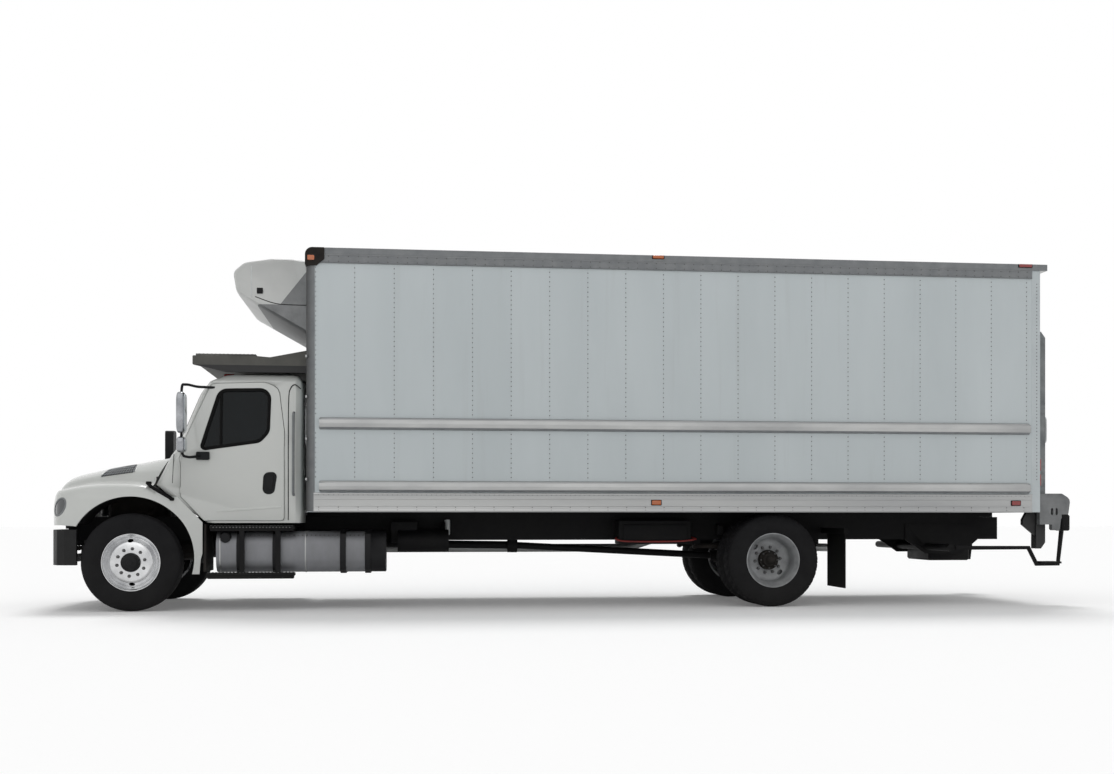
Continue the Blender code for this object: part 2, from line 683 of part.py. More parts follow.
def build_knuckle(name, side, steer):
    """The yoke round the axle's end, the spindle and the arm to the tie rod."""
    y = side * KINGPIN_Y
    ear = KINGPIN_HEAD + SEAT_GAP
    foot = KINGPIN_FOOT - SEAT_GAP
    shapes = [brick(-0.055, 0.055, *span(side, KINGPIN_Y + 0.060, KINGPIN_Y + 0.095), foot - 0.045, ear + 0.045),
              brick(-0.050, 0.050, *span(side, KINGPIN_Y - 0.050, KINGPIN_Y + 0.080), ear, ear + 0.040),
              brick(-0.050, 0.050, *span(side, KINGPIN_Y - 0.050, KINGPIN_Y + 0.080), foot - 0.040, foot),
              rod((0, side * (KINGPIN_Y + 0.090), TYRE_RADIUS), (0, side * (FRONT_TYRE_Y + 0.165), TYRE_RADIUS),
                  SPINDLE_RADIUS, WHEEL_SIDES),
              prism([(-0.03, y - 0.03), (0.03, y - 0.035), (TIE_ROD_X + 0.03, y - side * 0.02 - 0.025),
                     (TIE_ROD_X + 0.03, y - side * 0.02 + 0.025), (0.03, y + 0.035), (-0.03, y + 0.03)],
                    "Z", foot - ARM_DROP, foot - 0.008)]
    fuse(f"steering_knuckle_{name}", shapes, "cast_iron", steer)


def build_tie_rod():
    reach = KINGPIN_Y - 0.02
    pivot = add_empty("tie_rod_axis", (TIE_ROD_X, -reach, TIE_ROD_Z), datum)
    inside = reach - 0.011
    shapes = [rod((TIE_ROD_X, -inside, 0.373), (TIE_ROD_X, inside, 0.373), 0.018, 8)]
    for name, side in SIDES:
        shapes.append(rod((TIE_ROD_X, side * reach, 0.350),
                          (TIE_ROD_X, side * reach, KINGPIN_FOOT - ARM_DROP - SEAT_GAP * 2), 0.026, 12))
    fuse("tie_rod", shapes, "cast_iron", pivot)


# Cab


def lean(y, z):
    """Tumblehome: the sides lean in above the belt line."""
    if z <= BELT_Z:
        return y
    return y * (1 - TUMBLEHOME * ((z - BELT_Z) / (CAB_ROOF - BELT_Z)) ** 1.3)


LEAN_LEVELS = (BELT_Z, 2.00, 2.30)
CAB_SLICES = (
    # height, front in the middle, back, how far the front bows back to its corners, inset of the edge
    (CAB_FLOOR, 0.757, CAB_BACK, 0.0, 0.0),
    (1.200, 0.420, CAB_BACK, -0.06, 0.0),
    (COWL_FOOT[1] + 0.01, 0.360, CAB_BACK, -0.14, 0.0),
    (WINDSCREEN_FOOT_Z, WINDSCREEN_FOOT_X, CAB_BACK, 0.07, 0.0),
    (BELT_Z, 0.360, CAB_BACK, WINDSCREEN_BOW, 0.0),
    (2.00, 0.487, CAB_BACK, 0.098, 0.0),
    (2.30, 0.613, CAB_BACK, 0.090, 0.0),
    (2.420, 0.700, CAB_BACK - 0.007, 0.085, 0.010),
    (2.485, 0.860, CAB_BACK - 0.040, 0.070, 0.050),
    (CAB_ROOF, 1.060, CAB_BACK - 0.130, 0.050, 0.190),
)


def slice_at(z):
    """The cab's slice at a height, between its two neighbours in the table."""
    for below, above in zip(CAB_SLICES, CAB_SLICES[1:]):
        if below[0] <= z <= above[0]:
            share = (z - below[0]) / (above[0] - below[0])
            return tuple(a + (b - a) * share for a, b in zip(below, above))
    return CAB_SLICES[-1]


def cab_block(inset, low=CAB_FLOOR):
    """The cab's outer form, or the same inset all round, lofted through level slices."""
    high = CAB_ROOF - inset
    levels = [low] + [row[0] for row in CAB_SLICES if low + 0.01 < row[0] < high - 0.01] + [high]
    rings = []
    for z in levels:
        height, front, back, bow, edge = slice_at(z)
        front += inset * 1.1
        back -= inset
        half = lean(CAB_HALF_WIDTH - inset, z) - edge
        nose = [(front + bow * share ** 2, share * half) for share in (-0.93, -0.5, 0.0, 0.5, 0.93)]
        right = [(front + bow + 0.030, half * 0.985), (front + bow + 0.090, half), (back - 0.060, half),
                 (back - 0.018, half - 0.018), (back, half - 0.060)]
        left = [(x, -y) for x, y in reversed(right)]
        rings.append([(x, y, z) for x, y in nose + right + left])
    return loft(rings)


def side_slab(side, near, far):
    """A slab of the cab's leaning side between two distances from the middle."""
    rings = []
    for z in (0.80,) + LEAN_LEVELS + (2.50,):
        y0, y1 = lean(side * near, z), lean(side * far, z)
        rings.append([(0.20, y0, z), (1.80, y0, z), (1.80, y1, z), (0.20, y1, z)])
    return loft(rings)


def door_outline(grow):
    """The left and right doors' outline in side view, grown outwards all round."""
    front = DOOR_FRONT - grow
    return rounded(((front, SEAM_TOP[1] - grow * 0.4, 0), (front, 1.700, 0.02),
                    (0.800 - grow, 2.385 + grow * 0.6, 0.06), (1.350, 2.405 + grow, 0.03),
                    (DOOR_BACK - 0.060 + grow, 2.350 + grow, 0.10), (DOOR_BACK + grow, 1.900, 0.05),
                    (DOOR_BACK + grow, 0.945 - grow, 0.03),
                    (SEAM_FOOT[0] - grow * 1.4, 0.945 - grow, 0)), 2)


def window_outline(grow):
    return rounded(((0.700 - grow, 1.690 - grow, 0.03), (0.890 - grow, 2.318 + grow, 0.10),
                    (1.405 + grow, 2.330 + grow, 0.10), (1.392 + grow, 1.880, 0.12),
                    (1.300, 1.778 - grow, 0.10)), 3)


def screen_outline(grow):
    """The windscreen opening, seen from the front, as (y, z)."""
    foot, head = 0.975 + grow, 0.865 + grow
    return rounded(((-foot, 1.690 - grow, 0.05), (foot, 1.690 - grow, 0.05), (head, 2.300 + grow, 0.07),
                    (-head, 2.300 + grow, 0.07)), 2)


def toe_board(z):
    """Place of the slanted wall in front of the feet, inside the cab, at a height."""
    return slice_at(z)[1] + CAB_WALL * 1.1


def door_pins(side, radius, grow):
    """The upright pins on a door's hinge axis, or the pockets for them."""
    y = side * CAB_HALF_WIDTH
    return [rod((DOOR_HINGE_X, y, low - grow), (DOOR_HINGE_X, y, high + grow), radius, 8)
            for low, high in DOOR_PINS]


def build_cab():
    shell = place("cab_shell", cab_block(0.0), "white_paint")
    back_window = rounded(((-0.55, 1.78, 0.05), (0.55, 1.78, 0.05), (0.55, 2.22, 0.05), (-0.55, 2.22, 0.05)), 2)
    cut(shell, [cab_block(CAB_WALL, CAB_DECK), prism(screen_outline(SEAT_GAP), "X", 0.0, 0.98),
                prism(back_window, "X", 1.60, 1.80),
                brick(0.50, 1.80, -TUNNEL_HALF_WIDTH, TUNNEL_HALF_WIDTH, 0.80, CAB_DECK - CAB_WALL)])
    for name, side in SIDES:
        doorway = place(f"doorway_{name}", side_slab(side, CAB_HALF_WIDTH - CAB_WALL - 0.006, 1.14), "white_paint")
        truck.objects.unlink(doorway)
        cutters.objects.link(doorway)
        doorway.hide_render = True
        doorway.display_type = "WIRE"
        combine(doorway, [prism(door_outline(MOVING_GAP), "Y", *span(side, 0.80, 1.25))], "INTERSECT")
        modifier = shell.modifiers.new(f"doorway_{name}", "BOOLEAN")
        modifier.operation = "DIFFERENCE"
        modifier.object = doorway
        cut(shell, door_pins(side, DOOR_PIN_RADIUS + MOVING_GAP, SEAT_GAP))

    glass = place("windscreen", cab_block(0.010), "dark_glass")
    cut(glass, [cab_block(0.010 + GLASS_THICKNESS)])
    combine(glass, [prism(screen_outline(-0.0005), "X", 0.05, 0.97)], "INTERSECT")
    place("back_window", prism(shrunk(back_window, 0.0005), "X", CAB_BACK - 0.030, CAB_BACK - 0.020),
          "dark_glass")

    for name, side in SIDES:
        hinge = add_empty(f"door_hinge_{name}", (DOOR_HINGE_X, side * CAB_HALF_WIDTH, 1.5), datum)
        slab = side_slab(side, CAB_HALF_WIDTH - CAB_WALL, CAB_HALF_WIDTH)
        door = place(f"door_{name}", slab, "white_paint", hinge)
        combine(door, [prism(door_outline(0.0), "Y", *span(side, 0.80, 1.25))], "INTERSECT")
        cut(door, [prism(window_outline(0.0), "Y", *span(side, 0.75, 1.25))])
        combine(door, door_pins(side, DOOR_PIN_RADIUS, 0.0), "UNION")
        slab = side_slab(side, CAB_HALF_WIDTH - 0.012 - GLASS_THICKNESS, CAB_HALF_WIDTH - 0.012)
        pane = place(f"door_glass_{name}", slab, "dark_glass", hinge)
        combine(pane, [prism(window_outline(-0.0005), "Y", *span(side, 0.80, 1.25))], "INTERSECT")
        build_mirror(name, side, hinge)

    lean_to = toe_board(DASH_SEAT_Z) + 0.0006
    dash = [(lean_to + 0.006, DASH_SEAT_Z), (lean_to + 0.05, 1.27), (0.80, 1.27), (0.84, 1.47), (0.78, 1.58),
            (0.57, 1.60), (lean_to + 0.06, 1.53)]
    ledge = CAB_HALF_WIDTH - CAB_WALL - SEAT_GAP
    shapes = [prism(dash, "Y", -0.95, 0.95), brick(0.447, 0.487, -ledge, ledge, 1.38, 1.44)]
    fuse("dashboard", shapes + steering_wheel(), "dark_plastic")
    build_seats()


def build_seats():
    floor = CAB_DECK + SEAT_GAP
    for name, side in SIDES:
        y = side * 0.50
        side_view = ((1.05, 1.24, 0.02), (1.58, 1.24, 0.02), (1.66, 1.98, 0.04), (1.56, 1.98, 0.04),
                     (1.50, 1.42, 0.04), (1.05, 1.40, 0.05))
        shapes = [brick(1.10, 1.54, y - 0.17, y + 0.17, floor, 1.30),
                  prism(rounded(side_view, 2), "Y", y - 0.24, y + 0.24),
                  brick(1.585, 1.650, y - 0.13, y + 0.13, 1.93, 2.16, 0.02)]
        fuse(f"seat_{name}", shapes, "seat_cloth")


def steering_wheel():
    hub = Vector((0.875, -0.50, 1.53))
    axis = Vector((0.80, 0, 0.60)).normalized()
    across = Vector((0, 1, 0))
    upward = across.cross(axis)
    count = 16
    ring = []
    for index in range(count):
        angle = math.tau * index / count
        ring.append(hub + (across * math.cos(angle) + upward * math.sin(angle)) * 0.215)
    wheel = tube(ring, 0.015, 0, True)
    return [wheel,
            rod(hub - across * 0.21, hub + across * 0.21, 0.011, 8),
            rod(hub - upward * 0.21, hub, 0.011, 8),
            rod(hub - axis * 0.030, hub + axis * 0.030, 0.045, 12),
            rod(hub - axis * 0.20, hub - axis * 0.010, 0.026, 12)]


def build_mirror(name, side, hinge):
    """A C-shaped tube on the door carries a flat mirror and a round one under it."""
    y_door = lean(CAB_HALF_WIDTH, 1.62)
    route = [(0.70, 1.125, 1.62), (0.60, 1.30, 1.60), (0.545, 1.325, 1.66), (0.545, 1.325, 2.30),
             (0.58, 1.30, 2.345), (0.66, 1.10, 2.345)]
    shapes = [tube([(x, side * y, z) for x, y, z in route], 0.014, 1)]
    low, high = span(side, CAB_HALF_WIDTH + SEAT_GAP, 1.150)
    shapes.append(brick(0.655, 0.795, low, high, 1.575, 1.665, 0.01))
    # height range of each mirror head, width
    for z0, z1, width in ((1.835, 2.255, 0.205), (1.640, 1.800, 0.185)):
        x = 0.545
        y0, y1 = span(side, 1.345 - 0.02, 1.345 - 0.02 + width)
        head = rounded(((y0, z0, 0.03), (y1, z0, 0.03), (y1, z1, 0.03), (y0, z1, 0.03)), 2)
        shapes.append(prism(head, "X", x - 0.03, x + 0.055))
    fuse(f"mirror_{name}", shapes, "dark_plastic", hinge)


# Hood


def hood_ring(x, half, shoulder, shoulder_z, top, low):
    """One slice across the hood and fenders, as (y, z) from the left foot over the crown."""
    return [(-half, low), (-half, low + (shoulder_z - low) * 0.55), (-half + 0.015, shoulder_z - 0.10),
            (-half + 0.10, shoulder_z - 0.015), (-shoulder - 0.06, shoulder_z + 0.005),
            (-shoulder + 0.03, shoulder_z + (top - shoulder_z) * 0.55), (-shoulder * 0.72, top - 0.025),
            (-shoulder * 0.3, top), (shoulder * 0.3, top), (shoulder * 0.72, top - 0.025),
            (shoulder - 0.03, shoulder_z + (top - shoulder_z) * 0.55), (shoulder + 0.06, shoulder_z + 0.005),
            (half - 0.10, shoulder_z - 0.015), (half - 0.015, shoulder_z - 0.10),
            (half, low + (shoulder_z - low) * 0.55), (half, low)]


HOOD_SLICES = (
    # place, half width, half width of the raised centre, height of the fender's top, crown, foot
    (-0.845, 0.80, 0.54, 1.20, 1.34, 0.895),
    (-0.790, 1.01, 0.58, 1.26, 1.400, 0.895),
    (-0.690, 1.11, 0.63, 1.285, 1.445, 0.895),
    (-0.450, 1.160, 0.70, 1.325, 1.500, 0.860),
    (-0.150, 1.175, 0.76, 1.340, 1.555, 0.700),
    (0.160, 1.170, 0.82, 1.325, 1.610, 0.500),
    (0.420, 1.165, 0.88, 1.235, 1.650, 0.400),
)


def hood_block(inset):
    rings = []
    for x, half, shoulder, shoulder_z, top, low in HOOD_SLICES:
        ring = hood_ring(x, half - inset, shoulder - inset, shoulder_z - inset, top - inset, low - inset * 2)
        front = max(x, HOOD_SLICES[0][0] + inset)
        if x == HOOD_SLICES[-1][0]:
            front = x + inset * 2
        rings.append([(front, y, z) for y, z in ring])
    return loft(rings)


def fender_tail(side):
    """The fender's rear part, outside the cab's flank, down to its tip by the steps."""
    outline = [(0.255, 1.260), (SEAM_TOP[0] - 0.014, 1.260), (SEAM_TOP[0] - 0.014, SEAM_TOP[1] - 0.010),
               (SEAM_FOOT[0] - 0.012, SEAM_FOOT[1]), (0.722, 0.600), (0.705, 0.540), (0.690, 0.385),
               (0.540, 0.385), (0.255, 0.700)]
    return prism(outline, "Y", *span(side, TAIL_INNER_Y - 0.010, 1.160))


def tail_taper(side):
    """Cuts the fender's tail down to the door's side."""
    plan = [(0.36, 1.170), (0.36, 1.40), (0.90, 1.40), (0.90, 1.130), (0.50, 1.133)]
    return prism([(x, side * y) for x, y in plan], "Z", 0.30, 1.50)


def cowl_cuts():
    """The room for the cowl behind the hood: right across above, and inside the tails below."""
    behind = 0.95
    foot_x, foot_z = COWL_FOOT
    head_x, head_z = COWL_HEAD
    above = [(foot_x, foot_z), (0.405, 1.192), (behind, 1.192), (behind, 1.80), (head_x + 0.066, 1.80),
             (head_x, head_z)]
    inside = [(foot_x + 0.02, foot_z + 0.10), (foot_x + 0.02, 0.20), (behind, 0.20), (behind, foot_z + 0.10)]
    return [prism(above, "Y", -1.30, 1.30), prism(inside, "Y", -TAIL_INNER_Y, TAIL_INNER_Y)]


def arch(side):
    points = []
    for step in range(17):
        angle = math.radians(-30 + 240 * step / 16)
        points.append((ARCH_RADIUS * math.cos(angle), ARCH_Z + ARCH_RADIUS * math.sin(angle)))
    points += [(-0.80, 0.20), (0.50, 0.10)]
    return prism(points, "Y", *span(side, 0.56, 1.30))


def build_hood():
    hinge = add_empty("hood_hinge", (HOOD_PIVOT_X, 0, HOOD_PIVOT_Z), datum)
    grille_hole = rounded(((-0.50, 0.94, 0.04), (0.50, 0.94, 0.04), (0.575, 1.135, 0.06), (0.465, 1.292, 0.06),
                           (-0.465, 1.292, 0.06), (-0.575, 1.135, 0.06)), 2)
    lamp_hole = rounded(((-0.800, 0.980, 0.03), (-0.700, 1.030, 0.05), (-0.690, 1.110, 0.05),
                         (-0.790, 1.130, 0.03)), 2)
    hood = place("hood", hood_block(0.0), "white_paint", hinge)
    cut(hood, [hood_block(HOOD_WALL), prism(grille_hole, "X", -1.0, -0.77)])
    for name, side in SIDES:
        cut(hood, [prism(lamp_hole, "Y", *span(side, 0.88, 1.30))])
    combine(hood, [fender_tail(side) for name, side in SIDES], "UNION")
    cut(hood, cowl_cuts())
    for name, side in SIDES:
        cut(hood, [arch(side), tail_taper(side)])
    grille = place("grille", prism(shrunk(grille_hole, 0.0006), "X", -0.842, -0.822), "dark_plastic", hinge)
    slots = []
    for row in range(6):
        z = 0.975 + row * 0.055
        reach = 0.50 - 0.03 * abs(row - 3)
        for name, side in SIDES:
            slots.append(brick(-0.90, -0.80, *span(side, 0.02, reach - 0.03), z, z + 0.034))
    cut(grille, slots)
    for name, side in SIDES:
        lamp = place(f"headlamp_{name}", hood_block(0.002), "lamp_glass", hinge)
        cut(lamp, [hood_block(HOOD_WALL + 0.02)])
        combine(lamp, [prism(shrunk(lamp_hole, 0.0008), "Y", *span(side, 0.88, 1.30))], "INTERSECT")
    shapes = [rod((0.02, 0.98, 1.30), (0.02, 1.02, 1.62), 0.013, 8),
              prism(rounded(((0.93, 1.60, 0.04), (1.13, 1.60, 0.04), (1.13, 2.02, 0.04), (0.93, 2.02, 0.04)), 2),
                    "X", -0.03, 0.07)]
    cut(fuse("fender_mirror_right", shapes, "dark_plastic", hinge), [hood_block(-SEAT_GAP)])


# Cargo body


def build_cargo_body():
    x0, x1 = BODY_START, BODY_END
    floor_top = BODY_BOTTOM + BOTTOM_RAIL_HEIGHT + 0.03
    inner = HALF_BODY - WALL_THICKNESS
    front = x0 + FRONT_WALL_THICKNESS
    rear = x1 - REAR_FRAME_DEPTH

    shapes = [brick(front + SEAT_GAP, rear - SEAT_GAP, -inner + SEAT_GAP, inner - SEAT_GAP,
                    floor_top - FLOOR_THICKNESS, floor_top)]
    for name, side in SIDES:
        shapes.append(brick(front + 0.05, rear - 0.05, *span(side, 0.352, 0.428), FRAME_TOP + SEAT_GAP,
                            floor_top - FLOOR_THICKNESS + 0.01))
    count = 10
    for number in range(count):
        x = front + 0.25 + (rear - front - 0.5) * number / (count - 1)
        shapes.append(brick(x - 0.03, x + 0.03, -inner + 0.01, inner - 0.01, BODY_BOTTOM + 0.012,
                            floor_top - FLOOR_THICKNESS + 0.005))
    fuse("body_floor", shapes, "bare_aluminium")

    for name, side in SIDES:
        shapes = [brick(front + SEAT_GAP, rear - SEAT_GAP, *span(side, inner, HALF_BODY),
                        BODY_BOTTOM, BODY_TOP - ROOF_THICKNESS - SEAT_GAP)]
        wide = HALF_BODY - 0.01
        out = HALF_BODY + RAIL_STAND_OUT
        shapes.append(brick(front + 0.002, rear - 0.002, *span(side, wide, out), BODY_BOTTOM - 0.002,
                            BODY_BOTTOM + BOTTOM_RAIL_HEIGHT))
        shapes.append(brick(front + 0.002, rear - 0.002, *span(side, wide, out),
                            BODY_TOP - TOP_RAIL_HEIGHT, BODY_TOP - ROOF_THICKNESS - SEAT_GAP * 2))
        for z, height in RUB_RAILS:
            half = height / 2
            bulge = HALF_BODY + RUB_RAIL_DEPTH
            ring = [(side * wide, z - half), (side * bulge, z - half * 0.62), (side * (bulge + 0.004), z),
                    (side * bulge, z + half * 0.62), (side * wide, z + half)]
            shapes.append(prism(ring, "X", front + 0.06, rear - 0.03))
        fuse(f"side_wall_{name}", shapes, "body_panel")

    # the front wall carries the rounded corner posts
    radius = 0.07
    plan = rounded(((x0, -HALF_BODY, radius), (front, -HALF_BODY, 0), (front, HALF_BODY, 0),
                    (x0, HALF_BODY, radius)), 4)
    place("front_wall", prism(plan, "Z", BODY_BOTTOM, BODY_TOP - ROOF_THICKNESS - SEAT_GAP), "body_panel")
    plan = rounded(((x0, -HALF_BODY - RAIL_STAND_OUT, radius), (x1 + 0.08, -HALF_BODY - RAIL_STAND_OUT, 0),
                    (x1 + 0.08, HALF_BODY + RAIL_STAND_OUT, 0), (x0, HALF_BODY + RAIL_STAND_OUT, radius)), 4)
    roof = prism(plan, "Z", BODY_TOP - ROOF_THICKNESS, BODY_TOP)
    edges = [edge for edge in roof.edges if all(vert.co.z > BODY_TOP - 0.001 for vert in edge.verts)
             and max(vert.co.x for vert in edge.verts) < x1]
    bmesh.ops.bevel(roof, geom=edges, offset=0.03, segments=2, affect="EDGES", profile=0.5)
    place("roof", roof, "bare_aluminium")

    # the rear frame: two posts, a header and a sill around the door
    top = BODY_TOP - ROOF_THICKNESS - SEAT_GAP
    rear_frame = place("rear_frame", brick(rear, x1, -HALF_BODY, HALF_BODY, BODY_BOTTOM, top), "bare_aluminium")
    door_half = HALF_BODY - REAR_POST_WIDTH
    cut(rear_frame, [brick(rear - 0.1, x1 + 0.1, -door_half, door_half, floor_top, top - REAR_HEADER_HEIGHT)])
    door_x1 = x1 - REAR_DOOR_INSET
    side_gap = 0.0004
    door = place("rear_door", brick(door_x1 - REAR_DOOR_THICKNESS, door_x1, -door_half + side_gap,
                                    door_half - side_gap, floor_top + side_gap,
                                    top - REAR_HEADER_HEIGHT - side_gap), "body_panel")
    grooves = []
    pitch = (top - REAR_HEADER_HEIGHT - floor_top) / DOOR_PANELS
    for number in range(1, DOOR_PANELS):
        z = floor_top + pitch * number
        grooves.append(brick(door_x1 - 0.008, door_x1 + 0.01, -door_half - 0.01, door_half + 0.01,
                             z - 0.006, z + 0.006))
    cut(door, grooves)


def build_unit():
    """The refrigeration unit on the front wall, and the catwalk over the cab."""
    x1 = BODY_START - SEAT_GAP
    x0 = x1 - UNIT_DEPTH
    side_view = rounded(((x1, 2.935, 0), (x1, 3.715, 0), (1.62, 3.735, 0.05), (1.40, 3.735, 0.10),
                         (1.12, 3.690, 0.12), (x0 - 0.02, 3.585, 0.08), (x0 + 0.010, 3.405, 0.07),
                         (1.06, 3.350, 0.05)), 3)
    rings = []
    # half width, inset of the outline towards its middle
    for y, shrink in ((-UNIT_HALF_WIDTH, 0.94), (-UNIT_HALF_WIDTH + 0.04, 0.985), (-0.80, 1.0),
                      (0.80, 1.0), (UNIT_HALF_WIDTH - 0.04, 0.985), (UNIT_HALF_WIDTH, 0.94)):
        ring = []
        for x, z in side_view:
            ring.append((x1 + (x - x1) * shrink, y, 3.35 + (z - 3.35) * shrink))
        rings.append(ring)
    unit = place("refrigeration_unit", loft(rings), "white_paint")
    slots = []
    for name, side in SIDES:
        for row in range(4):
            z = 3.44 + row * 0.055
            slots.append(brick(x0 - 0.10, x0 + 0.10, *span(side, 0.06, 0.62), z, z + 0.030))
    cut(unit, slots)

    z = CATWALK_Z
    deck = rounded(((CATWALK_FRONT, z, 0.01), (0.94, z - 0.075, 0.02), (1.70, z - 0.075, 0.01),
                    (BODY_START - SEAT_GAP, z - 0.075, 0), (BODY_START - SEAT_GAP, z + 0.165, 0),
                    (1.40, z + 0.085, 0.05), (1.28, z + 0.095, 0.02), (CATWALK_FRONT, z + 0.095, 0.01)), 2)
    shapes = [prism(deck, "Y", *span(side, CATWALK_HALF_WIDTH - 0.03, CATWALK_HALF_WIDTH)) for name, side in SIDES]
    shapes.append(brick(CATWALK_FRONT + 0.01, BODY_START - SEAT_GAP, -CATWALK_HALF_WIDTH + 0.01,
                        CATWALK_HALF_WIDTH - 0.01, z + 0.035, z + 0.075))
    shapes.append(brick(CATWALK_FRONT + 0.03, 1.25, -CATWALK_HALF_WIDTH + 0.03, CATWALK_HALF_WIDTH - 0.03,
                        z + 0.070, z + 0.118))
    fuse("catwalk", shapes, "gate_grey")


# Lift gate


def column_plan(side):
    """A channel whose slot faces the middle of the truck, as (x, y)."""
    x0, x1 = BODY_END + SEAT_GAP, BODY_END + COLUMN_DEPTH
    far, near = COLUMN_Y + COLUMN_WIDTH / 2, COLUMN_Y - COLUMN_WIDTH / 2
    wall = COLUMN_WALL
    slot0 = (x0 + x1) / 2 - SLOT_WIDTH / 2
    slot1 = slot0 + SLOT_WIDTH
    plan = [(x0, far), (x1, far), (x1, near), (slot1, near), (slot1, near + wall), (x1 - wall, near + wall),
            (x1 - wall, far - wall), (x0 + wall, far - wall), (x0 + wall, near + wall), (slot0, near + wall),
            (slot0, near), (x0, near)]
    return [(x, side * y) for x, y in plan]


def build_gate():
    x0 = BODY_END
    middle = x0 + COLUMN_DEPTH / 2
    for name, side in SIDES:
        column = place(f"gate_column_{name}", prism(column_plan(side), "Z", COLUMN_FOOT, COLUMN_TOP), "gate_grey")
        low, high = span(side, COLUMN_Y - 0.03, COLUMN_Y + 0.03)
        seat = BODY_BOTTOM - SEAT_GAP
        weld = x0 + COLUMN_WALL / 2
        brace = prism([(x0 - 0.14, 0.955), (x0 - 0.095, seat), (weld, seat), (weld, 0.78), (x0 - 0.14, 0.90)],
                      "Y", low, high)
        combine(column, [brace], "UNION")
        chamfer = COLUMN_DEPTH * 0.45
        for z, way in ((COLUMN_TOP, -1), (COLUMN_FOOT, 1)):
            edge = x0 + COLUMN_DEPTH
            wedge = [(edge - chamfer, z - way * 0.02), (edge + 0.05, z - way * 0.02), (edge + 0.05, z + way * chamfer * 1.6),
                     (edge, z + way * chamfer * 1.4), (edge - chamfer, z)]
            cut(column, [prism(wedge, "Y", *span(side, 0.9, 1.3))])

    slide = add_empty("gate_slide_axis", (middle, 0, PLATFORM_HINGE_Z), datum)
    fold = add_empty("platform_hinge", (x0 + PLATFORM_HINGE_X, 0, PLATFORM_HINGE_Z), datum)
    shapes = [brick(middle - 0.035, middle + 0.035, -1.045, 1.045, PLATFORM_HINGE_Z - 0.125, PLATFORM_HINGE_Z - 0.045)]
    shoe = COLUMN_DEPTH / 2 - COLUMN_WALL - MOVING_GAP
    for name, side in SIDES:
        shapes.append(brick(middle - 0.034, middle + 0.034, *span(side, 1.015, 1.055), PLATFORM_HINGE_Z - 0.12, 2.34))
        web = SLOT_WIDTH / 2 - MOVING_GAP
        shapes.append(brick(middle - web, middle + web, *span(side, 1.03, COLUMN_Y), 1.85, 2.33))
        shapes.append(brick(middle - shoe, middle + shoe,
                            *span(side, COLUMN_Y - COLUMN_WIDTH / 2 + COLUMN_WALL + MOVING_GAP,
                                  COLUMN_Y + COLUMN_WIDTH / 2 - COLUMN_WALL - MOVING_GAP), 1.86, 2.32))
        for z in (1.90, 2.22):
            shapes.append(brick(middle - 0.015, middle + 0.015,
                                *span(side, COLUMN_Y, COLUMN_Y + COLUMN_WIDTH / 2 - COLUMN_WALL - SEAT_GAP), z, z + 0.06))
        lug_x = x0 + PLATFORM_HINGE_X
        lug = [(middle, PLATFORM_HINGE_Z - 0.115), (lug_x + 0.02, PLATFORM_HINGE_Z - 0.03),
               (lug_x + 0.02, PLATFORM_HINGE_Z + 0.02), (lug_x - 0.02, PLATFORM_HINGE_Z + 0.02),
               (middle, PLATFORM_HINGE_Z - 0.03)]
        shapes.append(prism(lug, "Y", *span(side, LUG_Y, LUG_Y + 0.030)))
    fuse("gate_runner", shapes, "gate_grey", slide)

    hinge_x = x0 + PLATFORM_HINGE_X
    half = PLATFORM_THICKNESS / 2
    foot = PLATFORM_HINGE_Z + 0.035
    pin = LUG_Y - SEAT_GAP
    outline = [(hinge_x - half, foot), (hinge_x + half, foot), (hinge_x + half, foot + PLATFORM_HEIGHT - 0.30),
               (hinge_x - half + 0.014, foot + PLATFORM_HEIGHT), (hinge_x - half, foot + PLATFORM_HEIGHT)]
    shapes = [prism(outline, "Y", -PLATFORM_HALF_WIDTH, PLATFORM_HALF_WIDTH),
              rod((hinge_x, -pin, PLATFORM_HINGE_Z), (hinge_x, pin, PLATFORM_HINGE_Z), 0.022, 8)]
    for y in (-0.90, -0.30, 0.30, 0.90):
        shapes.append(brick(hinge_x - 0.020, hinge_x + 0.020, y - 0.04, y + 0.04, PLATFORM_HINGE_Z - 0.005, foot + 0.03))
    fuse("gate_platform", shapes, "gate_grey", fold)

    # power unit and the cross tube that carries the rear steps
    shapes = [brick(8.95, 9.45, -0.34, 0.34, 0.475, FRAME_BOTTOM - SEAT_GAP, 0.02),
              rod((8.88, -1.12, 0.64), (8.88, 1.12, 0.64), 0.040, 12),
              brick(8.885, 8.99, -0.20, 0.20, 0.612, 0.668)]
    for name, side in SIDES:
        hanger = [(8.62, 0.90), (8.62, 0.72), (8.86, 0.56), (9.30, 0.56), (9.50, 0.72), (9.50, 0.90)]
        shapes.append(prism(hanger, "Y", *span(side, RAIL_HALF_WIDTH + SEAT_GAP, RAIL_HALF_WIDTH + 0.016)))
        shapes.append(brick(9.10, 9.20, *span(side, 0.33, RAIL_HALF_WIDTH + 0.010), 0.60, 0.66))
    fuse("gate_power_unit", shapes, "chassis_black")

